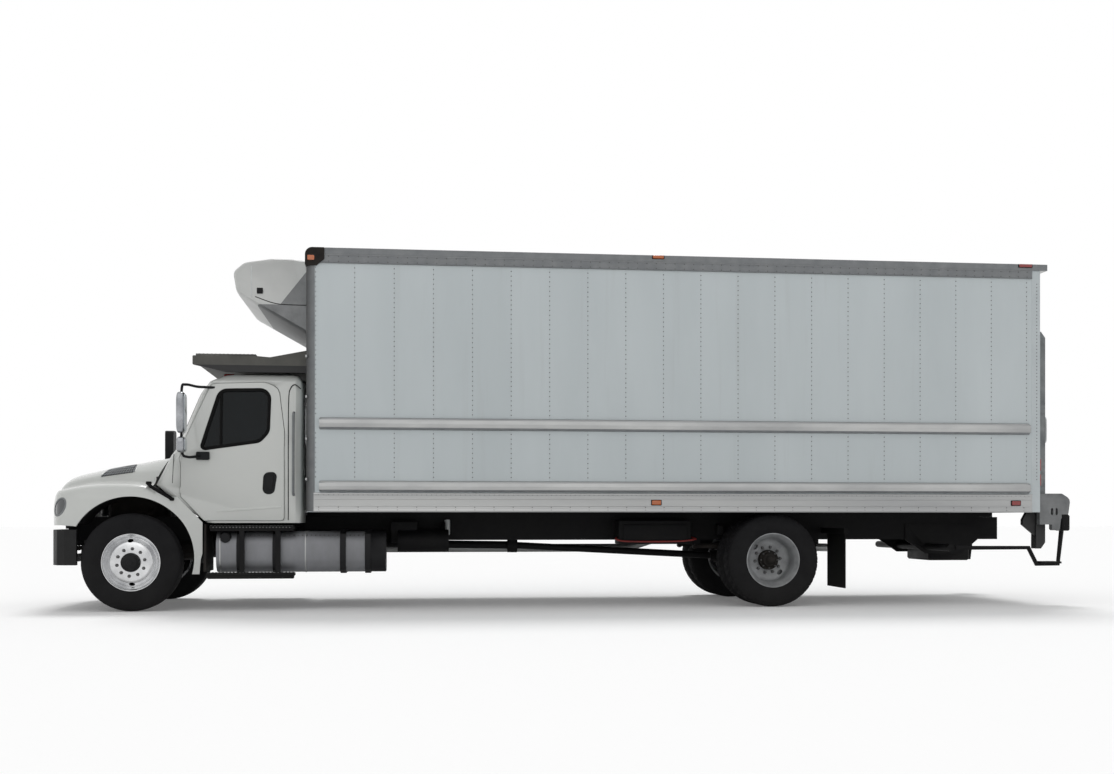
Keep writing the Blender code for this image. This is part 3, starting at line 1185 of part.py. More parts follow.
    for name, side in SIDES:
        y = 1.155
        route = [(8.92 + SEAT_GAP, y, 0.64), (9.771, y, 0.640), (9.868, y, 0.455), (10.120, y, 0.455),
                 (10.165, y, 0.850)]
        shapes = [tube([(x, side * value, z) for x, value, z in route], 0.026, 1),
                  brick(9.885, 10.105, *span(side, 1.065, 1.27), 0.465, 0.487)]
        end = BODY_END + DOCK_REACH
        plate = rounded(((x0 + SEAT_GAP, 0.90, 0), (9.985, 0.90, 0), (9.985, 0.835, 0.02), (10.075, 0.835, 0.02), (10.09, 0.965, 0),
                         (end - 0.03, 1.00, 0.05), (end - 0.005, 1.185, 0.06), (10.10, 1.245, 0.03),
                         (x0 + SEAT_GAP, 1.245, 0)), 2)
        low, high = span(side, 1.215, 1.285)
        shapes += [prism(plate, "Y", low, high),
                   brick(10.10, end, *span(side, 1.105, 1.275), 0.83, 1.01, 0.015)]
        step = fuse(f"rear_step_{name}", shapes, "chassis_black")
        holes = []
        for x in (x0 + 0.145, x0 + 0.200):
            oval = rounded(((x - 0.014, 1.005, 0.013), (x + 0.014, 1.005, 0.013),
                            (x + 0.014, 1.085, 0.013), (x - 0.014, 1.085, 0.013)), 2)
            holes.append(prism(oval, "Y", low - 0.01, high + 0.01))
        cut(step, holes)


build_frame()
build_front_axle()
build_rear_axle()
build_drive_line()
build_bumper()
build_side_gear()
build_mudflaps()
build_wheels()
build_tie_rod()
build_cab()
build_hood()
build_cargo_body()
build_unit()
build_gate()
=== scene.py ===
import json
import math
import time

import bmesh
import bpy
import numpy as np
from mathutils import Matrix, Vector

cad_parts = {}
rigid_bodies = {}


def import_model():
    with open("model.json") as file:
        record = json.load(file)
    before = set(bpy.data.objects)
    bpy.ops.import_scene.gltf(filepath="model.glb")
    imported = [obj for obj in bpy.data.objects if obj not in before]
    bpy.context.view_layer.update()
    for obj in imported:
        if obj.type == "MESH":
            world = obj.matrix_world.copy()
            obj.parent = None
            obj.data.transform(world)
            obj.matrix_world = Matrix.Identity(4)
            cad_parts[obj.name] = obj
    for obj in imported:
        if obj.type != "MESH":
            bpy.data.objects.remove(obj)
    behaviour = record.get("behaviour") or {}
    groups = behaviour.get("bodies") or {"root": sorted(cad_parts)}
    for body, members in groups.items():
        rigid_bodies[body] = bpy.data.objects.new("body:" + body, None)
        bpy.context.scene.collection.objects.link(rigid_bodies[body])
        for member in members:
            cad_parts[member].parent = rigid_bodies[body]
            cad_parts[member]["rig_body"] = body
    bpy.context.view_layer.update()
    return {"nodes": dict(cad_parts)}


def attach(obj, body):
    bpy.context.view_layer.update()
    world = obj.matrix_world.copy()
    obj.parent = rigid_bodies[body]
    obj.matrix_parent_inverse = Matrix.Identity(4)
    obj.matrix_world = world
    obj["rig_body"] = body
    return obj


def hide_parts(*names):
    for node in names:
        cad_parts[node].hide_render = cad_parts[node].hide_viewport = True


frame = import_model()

startTime = time.time()

# The truck faces -X, its left side is -Y and the ground is z = 0. Places along it are counted
# from the front axle rearwards, as on its drawing, and putMesh moves them into the frame.
axleX = -4.6625
wheelbase = 6.82
sides = (("left", -1), ("right", 1))
bodyHalf = 1.295        # outer face of the cargo box wall
bodyStart = 1.80
cabHalf = 1.10
collection = bpy.context.scene.collection


def report(stage):
    print(f"{stage}: {time.time() - startTime:.1f} s")


camera = dict(place=(-1.8225, -14.94, 0.955), turn=-6.64, lens=41.72, shift=0.119)
cameraObject = bpy.data.objects.new("camera", bpy.data.cameras.new("camera"))
cameraObject.location = camera["place"]
cameraObject.rotation_euler = (math.radians(90), 0, math.radians(camera["turn"]))
cameraObject.data.lens = camera["lens"]
cameraObject.data.sensor_width = 36
cameraObject.data.sensor_fit = "HORIZONTAL"
cameraObject.data.shift_y = camera["shift"]
cameraObject.data.clip_end = 400
collection.objects.link(cameraObject)
bpy.context.scene.camera = cameraObject
bpy.context.scene.view_settings.view_transform = "Standard"


class Value:        # a shader socket that takes part in sums and products
    def __init__(self, tree, socket):
        self.tree, self.socket = tree, socket

    def maths(self, operation, *others):
        node = self.tree.nodes.new("ShaderNodeMath")
        node.operation = operation
        for place, other in zip(node.inputs, others):
            if isinstance(other, Value):
                self.tree.links.new(other.socket, place)
            else:
                place.default_value = other
        return Value(self.tree, node.outputs[0])

    def __add__(self, other):
        return self.maths("ADD", self, other)

    def __radd__(self, other):
        return self.maths("ADD", other, self)

    def __sub__(self, other):
        return self.maths("SUBTRACT", self, other)

    def __rsub__(self, other):
        return self.maths("SUBTRACT", other, self)

    def __mul__(self, other):
        return self.maths("MULTIPLY", self, other)

    def __rmul__(self, other):
        return self.maths("MULTIPLY", other, self)

    def __truediv__(self, other):
        return self.maths("DIVIDE", self, other)

    def __abs__(self):
        return self.maths("ABSOLUTE", self)

    def above(self, other):
        return self.maths("GREATER_THAN", self, other)

    def below(self, other):
        return self.maths("LESS_THAN", self, other)

    def larger(self, other):
        return self.maths("MAXIMUM", self, other)

    def fraction(self):
        return self.maths("FRACT", self)

    def clamped(self):
        return self.maths("MINIMUM", self.maths("MAXIMUM", self, 0.0), 1.0)


class Finish:
    def __init__(self, name):
        self.material = bpy.data.materials.new(name)
        self.material.use_nodes = True
        self.tree = self.material.node_tree
        self.shader = self.tree.nodes["Principled BSDF"]
        self.place = self.node("ShaderNodeTexCoord").outputs["Object"]
        parts = self.node("ShaderNodeSeparateXYZ", values={0: self.place})
        self.x, self.y, self.z = (Value(self.tree, socket) for socket in parts.outputs)

    def put(self, place, value):
        if isinstance(value, Value):
            value = value.socket
        if isinstance(value, bpy.types.NodeSocket):
            self.tree.links.new(value, place)
        else:
            place.default_value = value

    def node(self, kind, settings=None, values=None):
        made = self.tree.nodes.new(kind)
        for key, setting in (settings or {}).items():
            setattr(made, key, setting)
        for key, value in (values or {}).items():
            self.put(made.inputs[key], value)
        return made

    def noise(self, scale, detail=3.0, stretch=(1, 1, 1), rough=0.5):
        spot = self.place
        if stretch != (1, 1, 1):
            spot = self.node("ShaderNodeMapping", values={"Vector": spot, "Scale": stretch}).outputs[0]
        made = self.node("ShaderNodeTexNoise",
                         values={"Vector": spot, "Scale": scale, "Detail": detail, "Roughness": rough})
        return Value(self.tree, made.outputs["Fac"])

    def wave(self, direction, scale):
        made = self.node("ShaderNodeTexWave", {"bands_direction": direction},
                         {"Vector": self.place, "Scale": scale})
        return Value(self.tree, made.outputs["Fac"])

    def blend(self, share, *colours):
        first, second = (colour if isinstance(colour, bpy.types.NodeSocket) else (*colour, 1)
                         for colour in colours)
        return self.node("ShaderNodeMix", {"data_type": "RGBA"}, {0: share, 6: first, 7: second}).outputs[2]

    def feed(self, socket, value):
        self.put(self.shader.inputs[socket], value)

    def bump(self, height, strength, distance):
        values = {"Height": height, "Strength": strength, "Distance": distance}
        made = self.node("ShaderNodeBump", values=values)
        self.feed("Normal", made.outputs[0])


# One look: a colour that drifts to a second one, a roughness that drifts with it, a fine grain,
# and road dust that fades out at a height above the ground
plainLook = dict(drift=0.8, spread=0.2, metal=0.0, coat=0.0, specular=0.5, grain=60.0, stretch=(1, 1, 1),
                 dust=0.0, dustTop=0.9, spangle=0.0)
looks = {
    "whitePaint": dict(colour=(0.645, 0.66, 0.635), second=(0.595, 0.61, 0.59), drift=0.5, scale=1.1,
                       rough=0.24, spread=0.12, coat=0.35, bump=0.02, dust=0.10, dustTop=1.1),
    "coolerShell": dict(colour=(0.62, 0.63, 0.615), second=(0.52, 0.53, 0.52), drift=0.6, scale=2.2,
                        rough=0.36, spread=0.15, grain=70.0, bump=0.04),
    "bareAluminium": dict(colour=(0.44, 0.445, 0.44), second=(0.31, 0.315, 0.32), scale=2.0, rough=0.38,
                          spread=0.25, metal=0.8, grain=30.0, stretch=(0.12, 1.0, 1.0), bump=0.08,
                          dust=0.08, dustTop=1.2),
    "polishedAluminium": dict(colour=(0.74, 0.745, 0.75), second=(0.50, 0.505, 0.515), scale=5.0, rough=0.20,
                              spread=0.14, metal=1.0, grain=80.0, bump=0.03, dust=0.06, dustTop=0.6),
    "brightSteel": dict(colour=(0.40, 0.41, 0.43), second=(0.20, 0.21, 0.22), scale=7.0, rough=0.13,
                        spread=0.10, metal=1.0, bump=0.02),
    "wheelWhite": dict(colour=(0.40, 0.41, 0.42), second=(0.22, 0.225, 0.23), scale=7.0, rough=0.45,
                       metal=0.15, grain=40.0, bump=0.06, dust=0.10, dustTop=0.7),
    "chassisBlack": dict(colour=(0.006, 0.006, 0.007), second=(0.012, 0.012, 0.012), drift=0.9, scale=4.0,
                         rough=0.58, spread=0.25, grain=45.0, bump=0.12, dust=0.03, dustTop=0.75,
                         specular=0.12),
    "tyreRubber": dict(colour=(0.007, 0.007, 0.008), second=(0.014, 0.014, 0.015), scale=5.0, rough=0.78,
                       spread=0.12, grain=120.0, bump=0.15, dust=0.03, specular=0.14),
    "blackRubber": dict(colour=(0.004, 0.004, 0.004), second=(0.009, 0.009, 0.009), drift=0.7, scale=8.0,
                        rough=0.68, spread=0.15, grain=90.0, bump=0.12, dust=0.03, dustTop=0.8,
                        specular=0.08),
    "darkPlastic": dict(colour=(0.007, 0.008, 0.009), second=(0.015, 0.015, 0.016), drift=0.6, scale=5.0,
                        rough=0.50, spread=0.15, grain=160.0, bump=0.12, dust=0.03, specular=0.15),
    "bumperPlastic": dict(colour=(0.008, 0.0085, 0.009), second=(0.018, 0.018, 0.018), scale=4.0, rough=0.50,
                          grain=120.0, bump=0.12, dust=0.04, dustTop=0.85, specular=0.18),
    "gateGrey": dict(colour=(0.105, 0.115, 0.120), second=(0.180, 0.190, 0.192), drift=0.9, scale=6.0,
                     rough=0.46, metal=0.5, grain=35.0, bump=0.08, spangle=22.0),
    "catwalkGrey": dict(colour=(0.058, 0.058, 0.052), second=(0.095, 0.093, 0.084), drift=0.9, scale=4.0,
                        rough=0.58, metal=0.3, grain=50.0, bump=0.10),
    "castIron": dict(colour=(0.013, 0.012, 0.012), second=(0.028, 0.024, 0.021), drift=0.9, scale=8.0,
                     rough=0.68, metal=0.3, grain=70.0, bump=0.3, dust=0.05, specular=0.15),
    "boltSteel": dict(colour=(0.060, 0.060, 0.062), second=(0.16, 0.16, 0.16), scale=30.0, rough=0.42,
                      metal=0.7, grain=120.0, bump=0.08),
    "rivetGrey": dict(colour=(0.30, 0.32, 0.33), second=(0.42, 0.44, 0.45), scale=30.0, rough=0.42,
                      metal=0.3, grain=120.0, bump=0.05),
    "sealantGrey": dict(colour=(0.17, 0.18, 0.19), second=(0.24, 0.25, 0.255), drift=0.7, scale=9.0,
                        rough=0.6, spread=0.15, bump=0.06),
    "castingWhite": dict(colour=(0.66, 0.68, 0.68), second=(0.55, 0.57, 0.57), drift=0.7, scale=9.0,
                         rough=0.5, spread=0.15, bump=0.06),
    "dockGrey": dict(colour=(0.150, 0.155, 0.158), second=(0.230, 0.235, 0.238), drift=0.9, scale=6.0,
                     rough=0.50, metal=0.3, grain=45.0, bump=0.08),
    "sheetEdge": dict(colour=(0.56, 0.605, 0.62), second=(0.50, 0.545, 0.56), scale=3.0, rough=0.45,
                      spread=0.1, bump=0.03),
    "hosePaint": dict(colour=(0.30, 0.022, 0.018), second=(0.17, 0.018, 0.016), scale=9.0, rough=0.5,
                      spread=0.15, bump=0.05),
    "mirrorGlass": dict(colour=(0.62, 0.66, 0.70), second=(0.55, 0.59, 0.63), drift=0.4, scale=4.0,
                        rough=0.04, spread=0.04, metal=1.0, bump=0.0),
}
looks = {name: {**plainLook, **look} for name, look in looks.items()}


def layer(finish, look):
    # the colour and roughness sockets of one look
    drift = finish.noise(look["scale"], 5.0, look["stretch"], 0.6)
    share = ((drift - 0.5) * (3.0 * look["drift"]) + 0.5).clamped()
    colour = finish.blend(share, look["colour"], look["second"])
    if look["spangle"]:     # patches of zinc crystals
        cells = finish.node("ShaderNodeTexVoronoi", values={"Vector": finish.place, "Scale": look["spangle"]})
        parts = finish.node("ShaderNodeSeparateColor", values={0: cells.outputs["Color"]})
        patch = Value(finish.tree, parts.outputs[0])
        colour = finish.blend(patch * 0.35, colour, tuple(1.5 * part for part in look["second"]))
    rough = look["rough"] + (drift - 0.5) * look["spread"]
    if look["dust"]:
        cloud = finish.noise(3.0, 4.0)
        film = ((look["dustTop"] - finish.z) / look["dustTop"] * (0.4 + cloud) * look["dust"]).clamped()
        colour = finish.blend(film, colour, (0.24, 0.225, 0.20))
        rough = rough + film * 0.5
    return colour, rough


def makeFinish(name, look, other=None, mask=None):
    # one look, or two looks parted by a mask that is worked out from the place on the truck
    finish = Finish(name)
    colour, rough = layer(finish, look)
    metal = look["metal"]
    if other:
        share = mask(finish)
        secondColour, secondRough = layer(finish, other)
        colour = finish.blend(share, colour, secondColour)
        rough = rough * (1.0 - share) + secondRough * share
        metal = (1.0 - share) * metal + share * other["metal"]
    finish.feed("Base Color", colour)
    finish.feed("Roughness", rough.clamped())
    finish.feed("Metallic", metal)
    finish.feed("Coat Weight", look["coat"])
    finish.feed("Coat Roughness", 0.06)
    finish.feed("Specular IOR Level", look["specular"])
    finish.bump(finish.noise(look["grain"], 2.0, look["stretch"]), look["bump"], 0.002)
    return finish.material


# The cargo wall: thin sheets lapped at each row of rivets, slightly drawn in at the rows, with
# the aluminium rails wherever the surface stands proud of the sheets
rivets = dict(pitch=0.410, first=2.300, count=19, low=1.40, high=3.60, step=0.0508,
              radius=0.0062, height=0.0036)
wall = dict(sheet=(0.590, 0.640, 0.655), shade=(0.535, 0.585, 0.600), lap=(0.30, 0.32, 0.33), lapHalf=0.007,
            runs=(0.36, 0.36, 0.34), rail=(0.46, 0.465, 0.46), railDark=(0.27, 0.275, 0.28), rough=0.42)


def makeWallFinish(name):
    finish = Finish(name)
    along = (finish.x - (axleX + rivets["first"])) / rivets["pitch"] + 40.0     # kept above nought
    part = along.fraction()
    fromSeam = 0.5 - abs(part - 0.5)        # 0 at a seam, a half between two
    broad = finish.noise(1.6, 3.0, (1.0, 1.0, 0.30), 0.5)
    small = finish.noise(5.0, 2.0, (1.0, 1.0, 0.22), 0.5)
    sheet = finish.node("ShaderNodeTexWhiteNoise", {"noise_dimensions": "1D"}, {"W": along - part})
    tone = (Value(finish.tree, sheet.outputs["Value"]) * 0.5 + (broad - 0.5) * 2.0 + 0.35).clamped()
    panel = finish.blend(tone, wall["sheet"], wall["shade"])
    panel = finish.blend(fromSeam.below(wall["lapHalf"]) * 0.16, panel, wall["lap"])
    streak = finish.noise(9.0, 4.0, (1.0, 1.0, 0.04), 0.6)
    panel = finish.blend(((streak - 0.58) * 3.0).clamped() * 0.22, panel, wall["runs"])
    proud = abs(finish.y).above(bodyHalf + 0.0025)
    brushed = finish.noise(24.0, 4.0, (0.05, 1.0, 1.0), 0.6)
    oxide = finish.noise(2.0, 5.0, (0.6, 1.0, 2.0), 0.6)
    metal = finish.blend(((oxide - 0.35) * 1.8).clamped(), wall["rail"], wall["railDark"])
    finish.feed("Base Color", finish.blend(proud, panel, metal))
    finish.feed("Metallic", proud * 0.85)
    finish.feed("Roughness", (wall["rough"] + proud * (brushed * 0.3 - 0.20)).clamped())
    height = (fromSeam * 4.0).clamped() * 0.5 + broad * 1.6 + small * 0.5
    finish.bump(height * (1.0 - proud) + brushed * proud * 0.02, 0.50, 0.012)
    return finish.material


# The fuel tank: brushed sheet, black straps round it and its dark rear end
tankLook = dict(straps=(1.10, 1.47, 2.17, 2.43), half=0.031, tail=2.46, metal=(0.26, 0.265, 0.28),
                stain=(0.15, 0.15, 0.155), strap=(0.010, 0.010, 0.011))


def makeTankFinish(name):
    finish = Finish(name)
    place = finish.x - axleX
    black = place.above(tankLook["tail"])
    for strap in tankLook["straps"]:
        black = black.larger(abs(place - strap).below(tankLook["half"]))
    brushed = finish.noise(30.0, 4.0, (1.0, 0.1, 0.1), 0.6)
    stain = finish.noise(3.0, 5.0, (1.0, 1.0, 0.4), 0.6)
    metal = finish.blend(((stain - 0.35) * 1.6).clamped(), tankLook["metal"], tankLook["stain"])
    finish.feed("Base Color", finish.blend(black, metal, tankLook["strap"]))
    finish.feed("Metallic", (1.0 - black) * 0.35)
    finish.feed("Roughness", (0.36 + brushed * 0.2 + black * 0.1).clamped())
    finish.feed("Specular IOR Level", 0.2)
    finish.bump(brushed, 0.06, 0.002)
    return finish.material


def makeGlass(name, colour, see, rough=0.05):
    finish = Finish(name)
    smear = finish.noise(5.0, 4.0, (1.0, 1.0, 0.5))
    smeared = tuple(1.8 * part for part in colour)
    finish.feed("Base Color", finish.blend((smear * 0.6).clamped(), colour, smeared))
    finish.feed("Roughness", (rough + (smear - 0.5) * 0.08).clamped())
    finish.feed("Alpha", (see + (smear - 0.5) * 0.10).clamped())
    finish.feed("IOR", 1.5)
    finish.feed("Specular IOR Level", 0.16)
    return finish.material


def makeLens(name, colour, dark, flutes=260.0):
    finish = Finish(name)
    band = finish.wave("X", flutes / 6.28)
    cloud = finish.noise(14.0, 2.0)
    finish.feed("Base Color", finish.blend((band * 0.5 + cloud * 0.3).clamped(), colour, dark))
    finish.feed("Roughness", (0.10 + cloud * 0.10).clamped())
    finish.feed("Coat Weight", 0.8)
    finish.bump(band, 0.25, 0.001)
    return finish.material


def makeCloth(name, colour, second, threads=90.0):
    finish = Finish(name)
    weave = finish.wave("Y", threads) * finish.wave("X", threads)
    worn = finish.noise(6.0, 4.0)
    finish.feed("Base Color", finish.blend((weave * 0.6 + worn * 0.5).clamped(), colour, second))
    finish.feed("Roughness", (0.82 + worn * 0.12).clamped())
    finish.bump(weave, 0.4, 0.001)
    return finish.material


finishes = {name: makeFinish(name, look) for name, look in looks.items()}
for name, maker, *values in (
        ("cargoWall", makeWallFinish), ("tankAluminium", makeTankFinish),
        ("tintedGlass", makeGlass, (0.003, 0.005, 0.006), 0.93),
        ("screenGlass", makeGlass, (0.005, 0.008, 0.009), 0.84),
        ("lampGlass", makeLens, (0.085, 0.092, 0.095), (0.030, 0.034, 0.036), 180.0),
        ("amberLens", makeLens, (0.62, 0.14, 0.010), (0.30, 0.050, 0.006)),
        ("redLens", makeLens, (0.34, 0.012, 0.010), (0.14, 0.006, 0.006)),
        ("seatCloth", makeCloth, (0.050, 0.052, 0.056), (0.095, 0.097, 0.10))):
    finishes[name] = maker(name, *values)
# Finishes of two looks, and what tells the second from the first
for name, first, second, mask in (
        ("rearFrame", "bareAluminium", "sheetEdge", lambda at: abs(at.y).above(1.292)),
        ("roofSheet", "bareAluminium", "sealantGrey", lambda at: abs(at.y).above(1.298)),
        ("gateColumn", "gateGrey", "chassisBlack", lambda at: at.z.below(1.25)),
        ("rearStep", "chassisBlack", "dockGrey",
         lambda at: abs(at.y).above(1.214) * (1.0 - at.x.above(axleX + 10.098) * at.z.below(1.012))
         * at.z.above(0.80)),
        # the lower half of each rub rail, which faces down, is coloured sealant grey: painted shade
        ("rubRail", "bareAluminium", "sealantGrey",
         lambda at: abs(at.z - 1.918).below(0.030).larger(abs(at.z - 1.264).below(0.030))),
        # the refrigeration unit's lower part and its sloping underside take dock grey over the white shell:
        # painted shade
        ("unitShellPaintedShade", "coolerShell", "dockGrey",
         lambda at: at.z.below(3.24).larger((at.x - (axleX + 1.50) - (at.z - 3.235) * 0.78).above(0.0))),
        ("catwalkBand", "catwalkGrey", "chassisBlack", lambda at: at.z.below(2.588)),
        ("bodyRail", "bareAluminium", "sealantGrey", lambda at: at.z.above(3.5)),
        # the corner post goes smoothly from grey on the side to near black round its front: painted shade
        ("cornerPostPaintedShade", "sealantGrey", "castIron", lambda at: ((axleX + 1.885 - at.x) * 9.0).clamped())):
    finishes[name] = makeFinish(name, looks[first], looks[second], mask)
report("finishes")

# The CAD nodes in each finish; a name that ends in _ stands for its left and its right one
finishNodes = {
    "chassisBlack": "chassis_frame driveshaft body_floor gate_power_unit cab_steps_",
    "castIron": "front_axle rear_axle engine_and_gearbox tie_rod steering_knuckle_",
    "bumperPlastic": "front_bumper", "tankAluminium": "fuel_tank", "bareAluminium": "exhaust_system",
    "whitePaint": "cab_shell hood door_", "screenGlass": "windscreen",
    "tintedGlass": "back_window door_glass_",
    "darkPlastic": "dashboard grille fender_mirror_right mirror_",
    "cargoWall": "front_wall rear_door side_wall_",
    "roofSheet": "roof", "rearFrame": "rear_frame", "unitShellPaintedShade": "refrigeration_unit",
    "catwalkBand": "catwalk",
    "gateGrey": "gate_runner gate_platform", "blackRubber": "mudflap_",
    "tyreRubber": "tyre_front_ tyre_rear_outer_ tyre_rear_inner_", "polishedAluminium": "wheel_front_",
    "wheelWhite": "wheel_rear_", "seatCloth": "seat_", "lampGlass": "headlamp_", "gateColumn": "gate_column_",
    "rearStep": "rear_step_"}


def eachNode(names):
    return [node for name in names.split()
            for node in ([name + sideName for sideName, side in sides] if name.endswith("_") else [name])]


nodeFinish = {node: finish for finish, names in finishNodes.items() for node in eachNode(names)}


# Meshes from whole arrays. A shape is its points, as (place from the front axle, side, height),
# and a list of arrays of faces.

def putMesh(name, shape, finish, sharp=38, body="truck", nodes=()):
    points, faces = shape
    mesh = bpy.data.meshes.new(name)
    world = np.asarray(points, float).reshape(-1, 3) + (axleX, 0, 0)
    mesh.from_pydata(world.tolist(), [], [face for group in faces for face in group.tolist()])
    joined = bmesh.new()
    joined.from_mesh(mesh)
    bmesh.ops.remove_doubles(joined, verts=joined.verts, dist=0.00002)
    bmesh.ops.recalc_face_normals(joined, faces=joined.faces)
    joined.to_mesh(mesh)
    joined.free()
    return putObject(name, mesh, finish, sharp, body, nodes)


def putObject(name, mesh, finish, sharp, body, nodes):
    mesh.shade_smooth()
    mesh.set_sharp_from_angle(angle=math.radians(sharp))
    mesh.materials.clear()
    mesh.materials.append(finishes[finish])
    piece = bpy.data.objects.new(name, mesh)
    collection.objects.link(piece)
    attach(piece, body)
    if nodes:
        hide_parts(*nodes)
    return piece


def carved(name, base, steps, finish, sharp, body, nodes=()):
    # Boolean steps one after another, each (operation, shape), kept in the piece's mesh
    piece = putMesh(name, base, finish, sharp, body, nodes)
    tools = []
    for operation, shape in steps:
        tools.append(putMesh(f"{name}_tool", shape, finish))
        change = piece.modifiers.new("carve", "BOOLEAN")
        change.operation, change.solver, change.object = operation, "EXACT", tools[-1]
    mesh = bpy.data.meshes.new_from_object(piece.evaluated_get(bpy.context.evaluated_depsgraph_get()))
    piece.modifiers.clear()
    piece.data = mesh
    for tool in tools:
        bpy.data.objects.remove(tool, do_unlink=True)
    mesh.shade_smooth()
    mesh.set_sharp_from_angle(angle=math.radians(sharp))


def gridFaces(rows, columns, closeRows=False, closeColumns=True):
    row = np.arange(rows if closeRows else rows - 1)[:, None]
    column = np.arange(columns if closeColumns else columns - 1)[None, :]
    nextRow, nextColumn = (row + 1) % rows, (column + 1) % columns
    corners = [row * columns + column, row * columns + nextColumn, nextRow * columns + nextColumn,
               nextRow * columns + column]
    return np.stack([np.broadcast_to(corner, corners[2].shape) for corner in corners], -1).reshape(-1, 4)


def skin(rows, columns, closed=False):
    # the faces over a run of rings, with one on each end unless the run closes
    end = np.arange(columns)[None, :]
    return [gridFaces(rows, columns, closed)] + ([] if closed else [end, end + (rows - 1) * columns])


def spots(x, y, z):
    # rows of points from three places, each one number or an array
    return np.stack(np.broadcast_arrays(*(np.asarray(part, float) for part in (x, y, z))), -1)


def unit(rows):
    return rows / np.maximum(np.linalg.norm(rows, axis=-1, keepdims=True), 1e-9)


def mirrored(points, side):
    # one point or several in a row, as (place, distance out, height), put on one side of the truck
    points = np.array(points)
    return points * np.tile((1, side, 1), points.shape[-1] // 3)


def merged(shapes):
    # many shapes as one, with the faces counted on
    points, faces, start = [], [], 0
    for somePoints, someFaces in shapes:
        points.append(np.asarray(somePoints, float).reshape(-1, 3))
        faces += [group + start for group in someFaces]
        start += len(points[-1])
    return np.concatenate(points), faces


def block(low, high, radius, steps=2):
    # a ball whose eight octants are pushed apart to the corners: corner + radius * direction
    low, high = np.minimum(low, high), np.maximum(low, high)
    radius = min(radius, 0.499 * float(np.min(high - low)))
    quarters = [np.linspace(0, 90, steps + 1) + 90 * quarter for quarter in range(4)]
    turn = np.radians(np.concatenate(quarters))
    turnX = np.repeat([1, -1, -1, 1], steps + 1)
    turnY = np.repeat([1, 1, -1, -1], steps + 1)
    halves = [np.linspace(-90, 0, steps + 1), np.linspace(0, 90, steps + 1)]
    lift = np.radians(np.concatenate(halves))[:, None]
    liftZ = np.repeat([-1, 1], steps + 1)[:, None]
    middle, half = (low + high) / 2, (high - low) / 2 - radius
    x = middle[0] + half[0] * turnX + radius * np.cos(lift) * np.cos(turn)
    y = middle[1] + half[1] * turnY + radius * np.cos(lift) * np.sin(turn)
    z = middle[2] + half[2] * liftZ + radius * np.sin(lift)
    rows, columns = x.shape
    end = np.array([[0, steps + 1, 2 * steps + 2, 3 * steps + 3]])
    return spots(x, y, z), [gridFaces(rows, columns), end, end + (rows - 1) * columns]


def blocks(table, radius=0.004, steps=2):
    return merged([block(row[:3], row[3:], radius, steps) for row in table])


def smoothPath(points, samples):
    # a Catmull-Rom curve: each stretch is the cubic through its two ends that heads for their neighbours
    points = np.asarray(points, float)
    near = np.concatenate([2 * points[:1] - points[1:2], points, 2 * points[-1:] - points[-2:-1]])
    count = len(points) - 1
    share = np.linspace(0, 1, samples, endpoint=False)[None, :, None]
    a, b, c, d = (near[k:k + count][:, None, :] for k in range(4))
    curve = 0.5 * (2 * b + (c - a) * share + (2 * a - 5 * b + 4 * c - d) * share ** 2
                   + (3 * b - a - 3 * c + d) * share ** 3)
    return np.concatenate([curve.reshape(-1, points.shape[1]), points[-1:]])


def frameAlong(path, closed=False, up=None):
    # unit tangents, and two unit directions across them: from the normals given as up, or turned
    # as little as they can be
    path = np.asarray(path, float)
    tangent = unit(np.roll(path, -1, 0) - np.roll(path, 1, 0) if closed else np.gradient(path, axis=0))
    if up is not None:
        across = unit(up - tangent * np.sum(up * tangent, 1, keepdims=True))
    else:
        guide = np.array((0.0, 1.0, 0.0) if abs(tangent[0, 2]) > 0.9 else (0.0, 0.0, 1.0))
        across = np.zeros_like(path)
        for index, heading in enumerate(tangent):       # each one is carried on from the one before
            guide = guide - heading * (guide @ heading)
            guide = guide / max(np.linalg.norm(guide), 1e-9)
            across[index] = guide
    return across, np.cross(tangent, across)


def tube(path, radius, around=10):
    # a ring of the given radius at each point of the path: point + radius (cos across + sin beside)
    across, beside = frameAlong(path)
    angle = np.linspace(0, math.tau, around, endpoint=False)[None, :, None]
    reach = np.broadcast_to(np.asarray(radius, float), (len(path),))[:, None, None]
    ring = np.asarray(path)[:, None, :] + reach * (np.cos(angle) * across[:, None, :]
                                                  + np.sin(angle) * beside[:, None, :])
    return ring, skin(len(path), around)


def strip(path, normals, width, height, closed=False, sink=0.004):
    # a low crowned section carried along a path that lies on a surface:
    # point + offset * sideways + rise * normal, for seven offsets and rises
    path = np.asarray(path, float)
    normals = np.broadcast_to(np.asarray(normals, float), path.shape)
    outward, sideways = frameAlong(path, closed, normals)
    offset = (np.array([-0.5, -0.5, -0.3, 0.0, 0.3, 0.5, 0.5]) * width)[None, :, None]
    rise = np.array([-sink, height * 0.45, height * 0.9, height, height * 0.9, height * 0.45, -sink])
    ring = path[:, None, :] + offset * sideways[:, None, :] + rise[None, :, None] * outward[:, None, :]
    return ring, skin(len(path), 7, closed)


def lathe(profile, centre, side, count, closed=False, axis="y"):
    # a profile of (radius, offset) turned about an axle: (radius cos, offset, radius sin)
    profile = np.asarray(profile, float)
    angle = np.linspace(0, math.tau, count, endpoint=False)[:, None]
    radius, offset = profile[None, :, 0], profile[None, :, 1]
    one, two, three = radius * np.cos(angle), radius * np.sin(angle), side * offset
    points = spots(*((one, three, two) if axis == "y" else (one, two, three))) + np.asarray(centre, float)
    faces = [gridFaces(count, len(profile), True, closed)]
    if not closed:
        for column in (0, len(profile) - 1):
            if profile[column, 0] > 1e-6:
                faces.append((np.arange(count) * len(profile) + column)[None, :])
    return points, faces


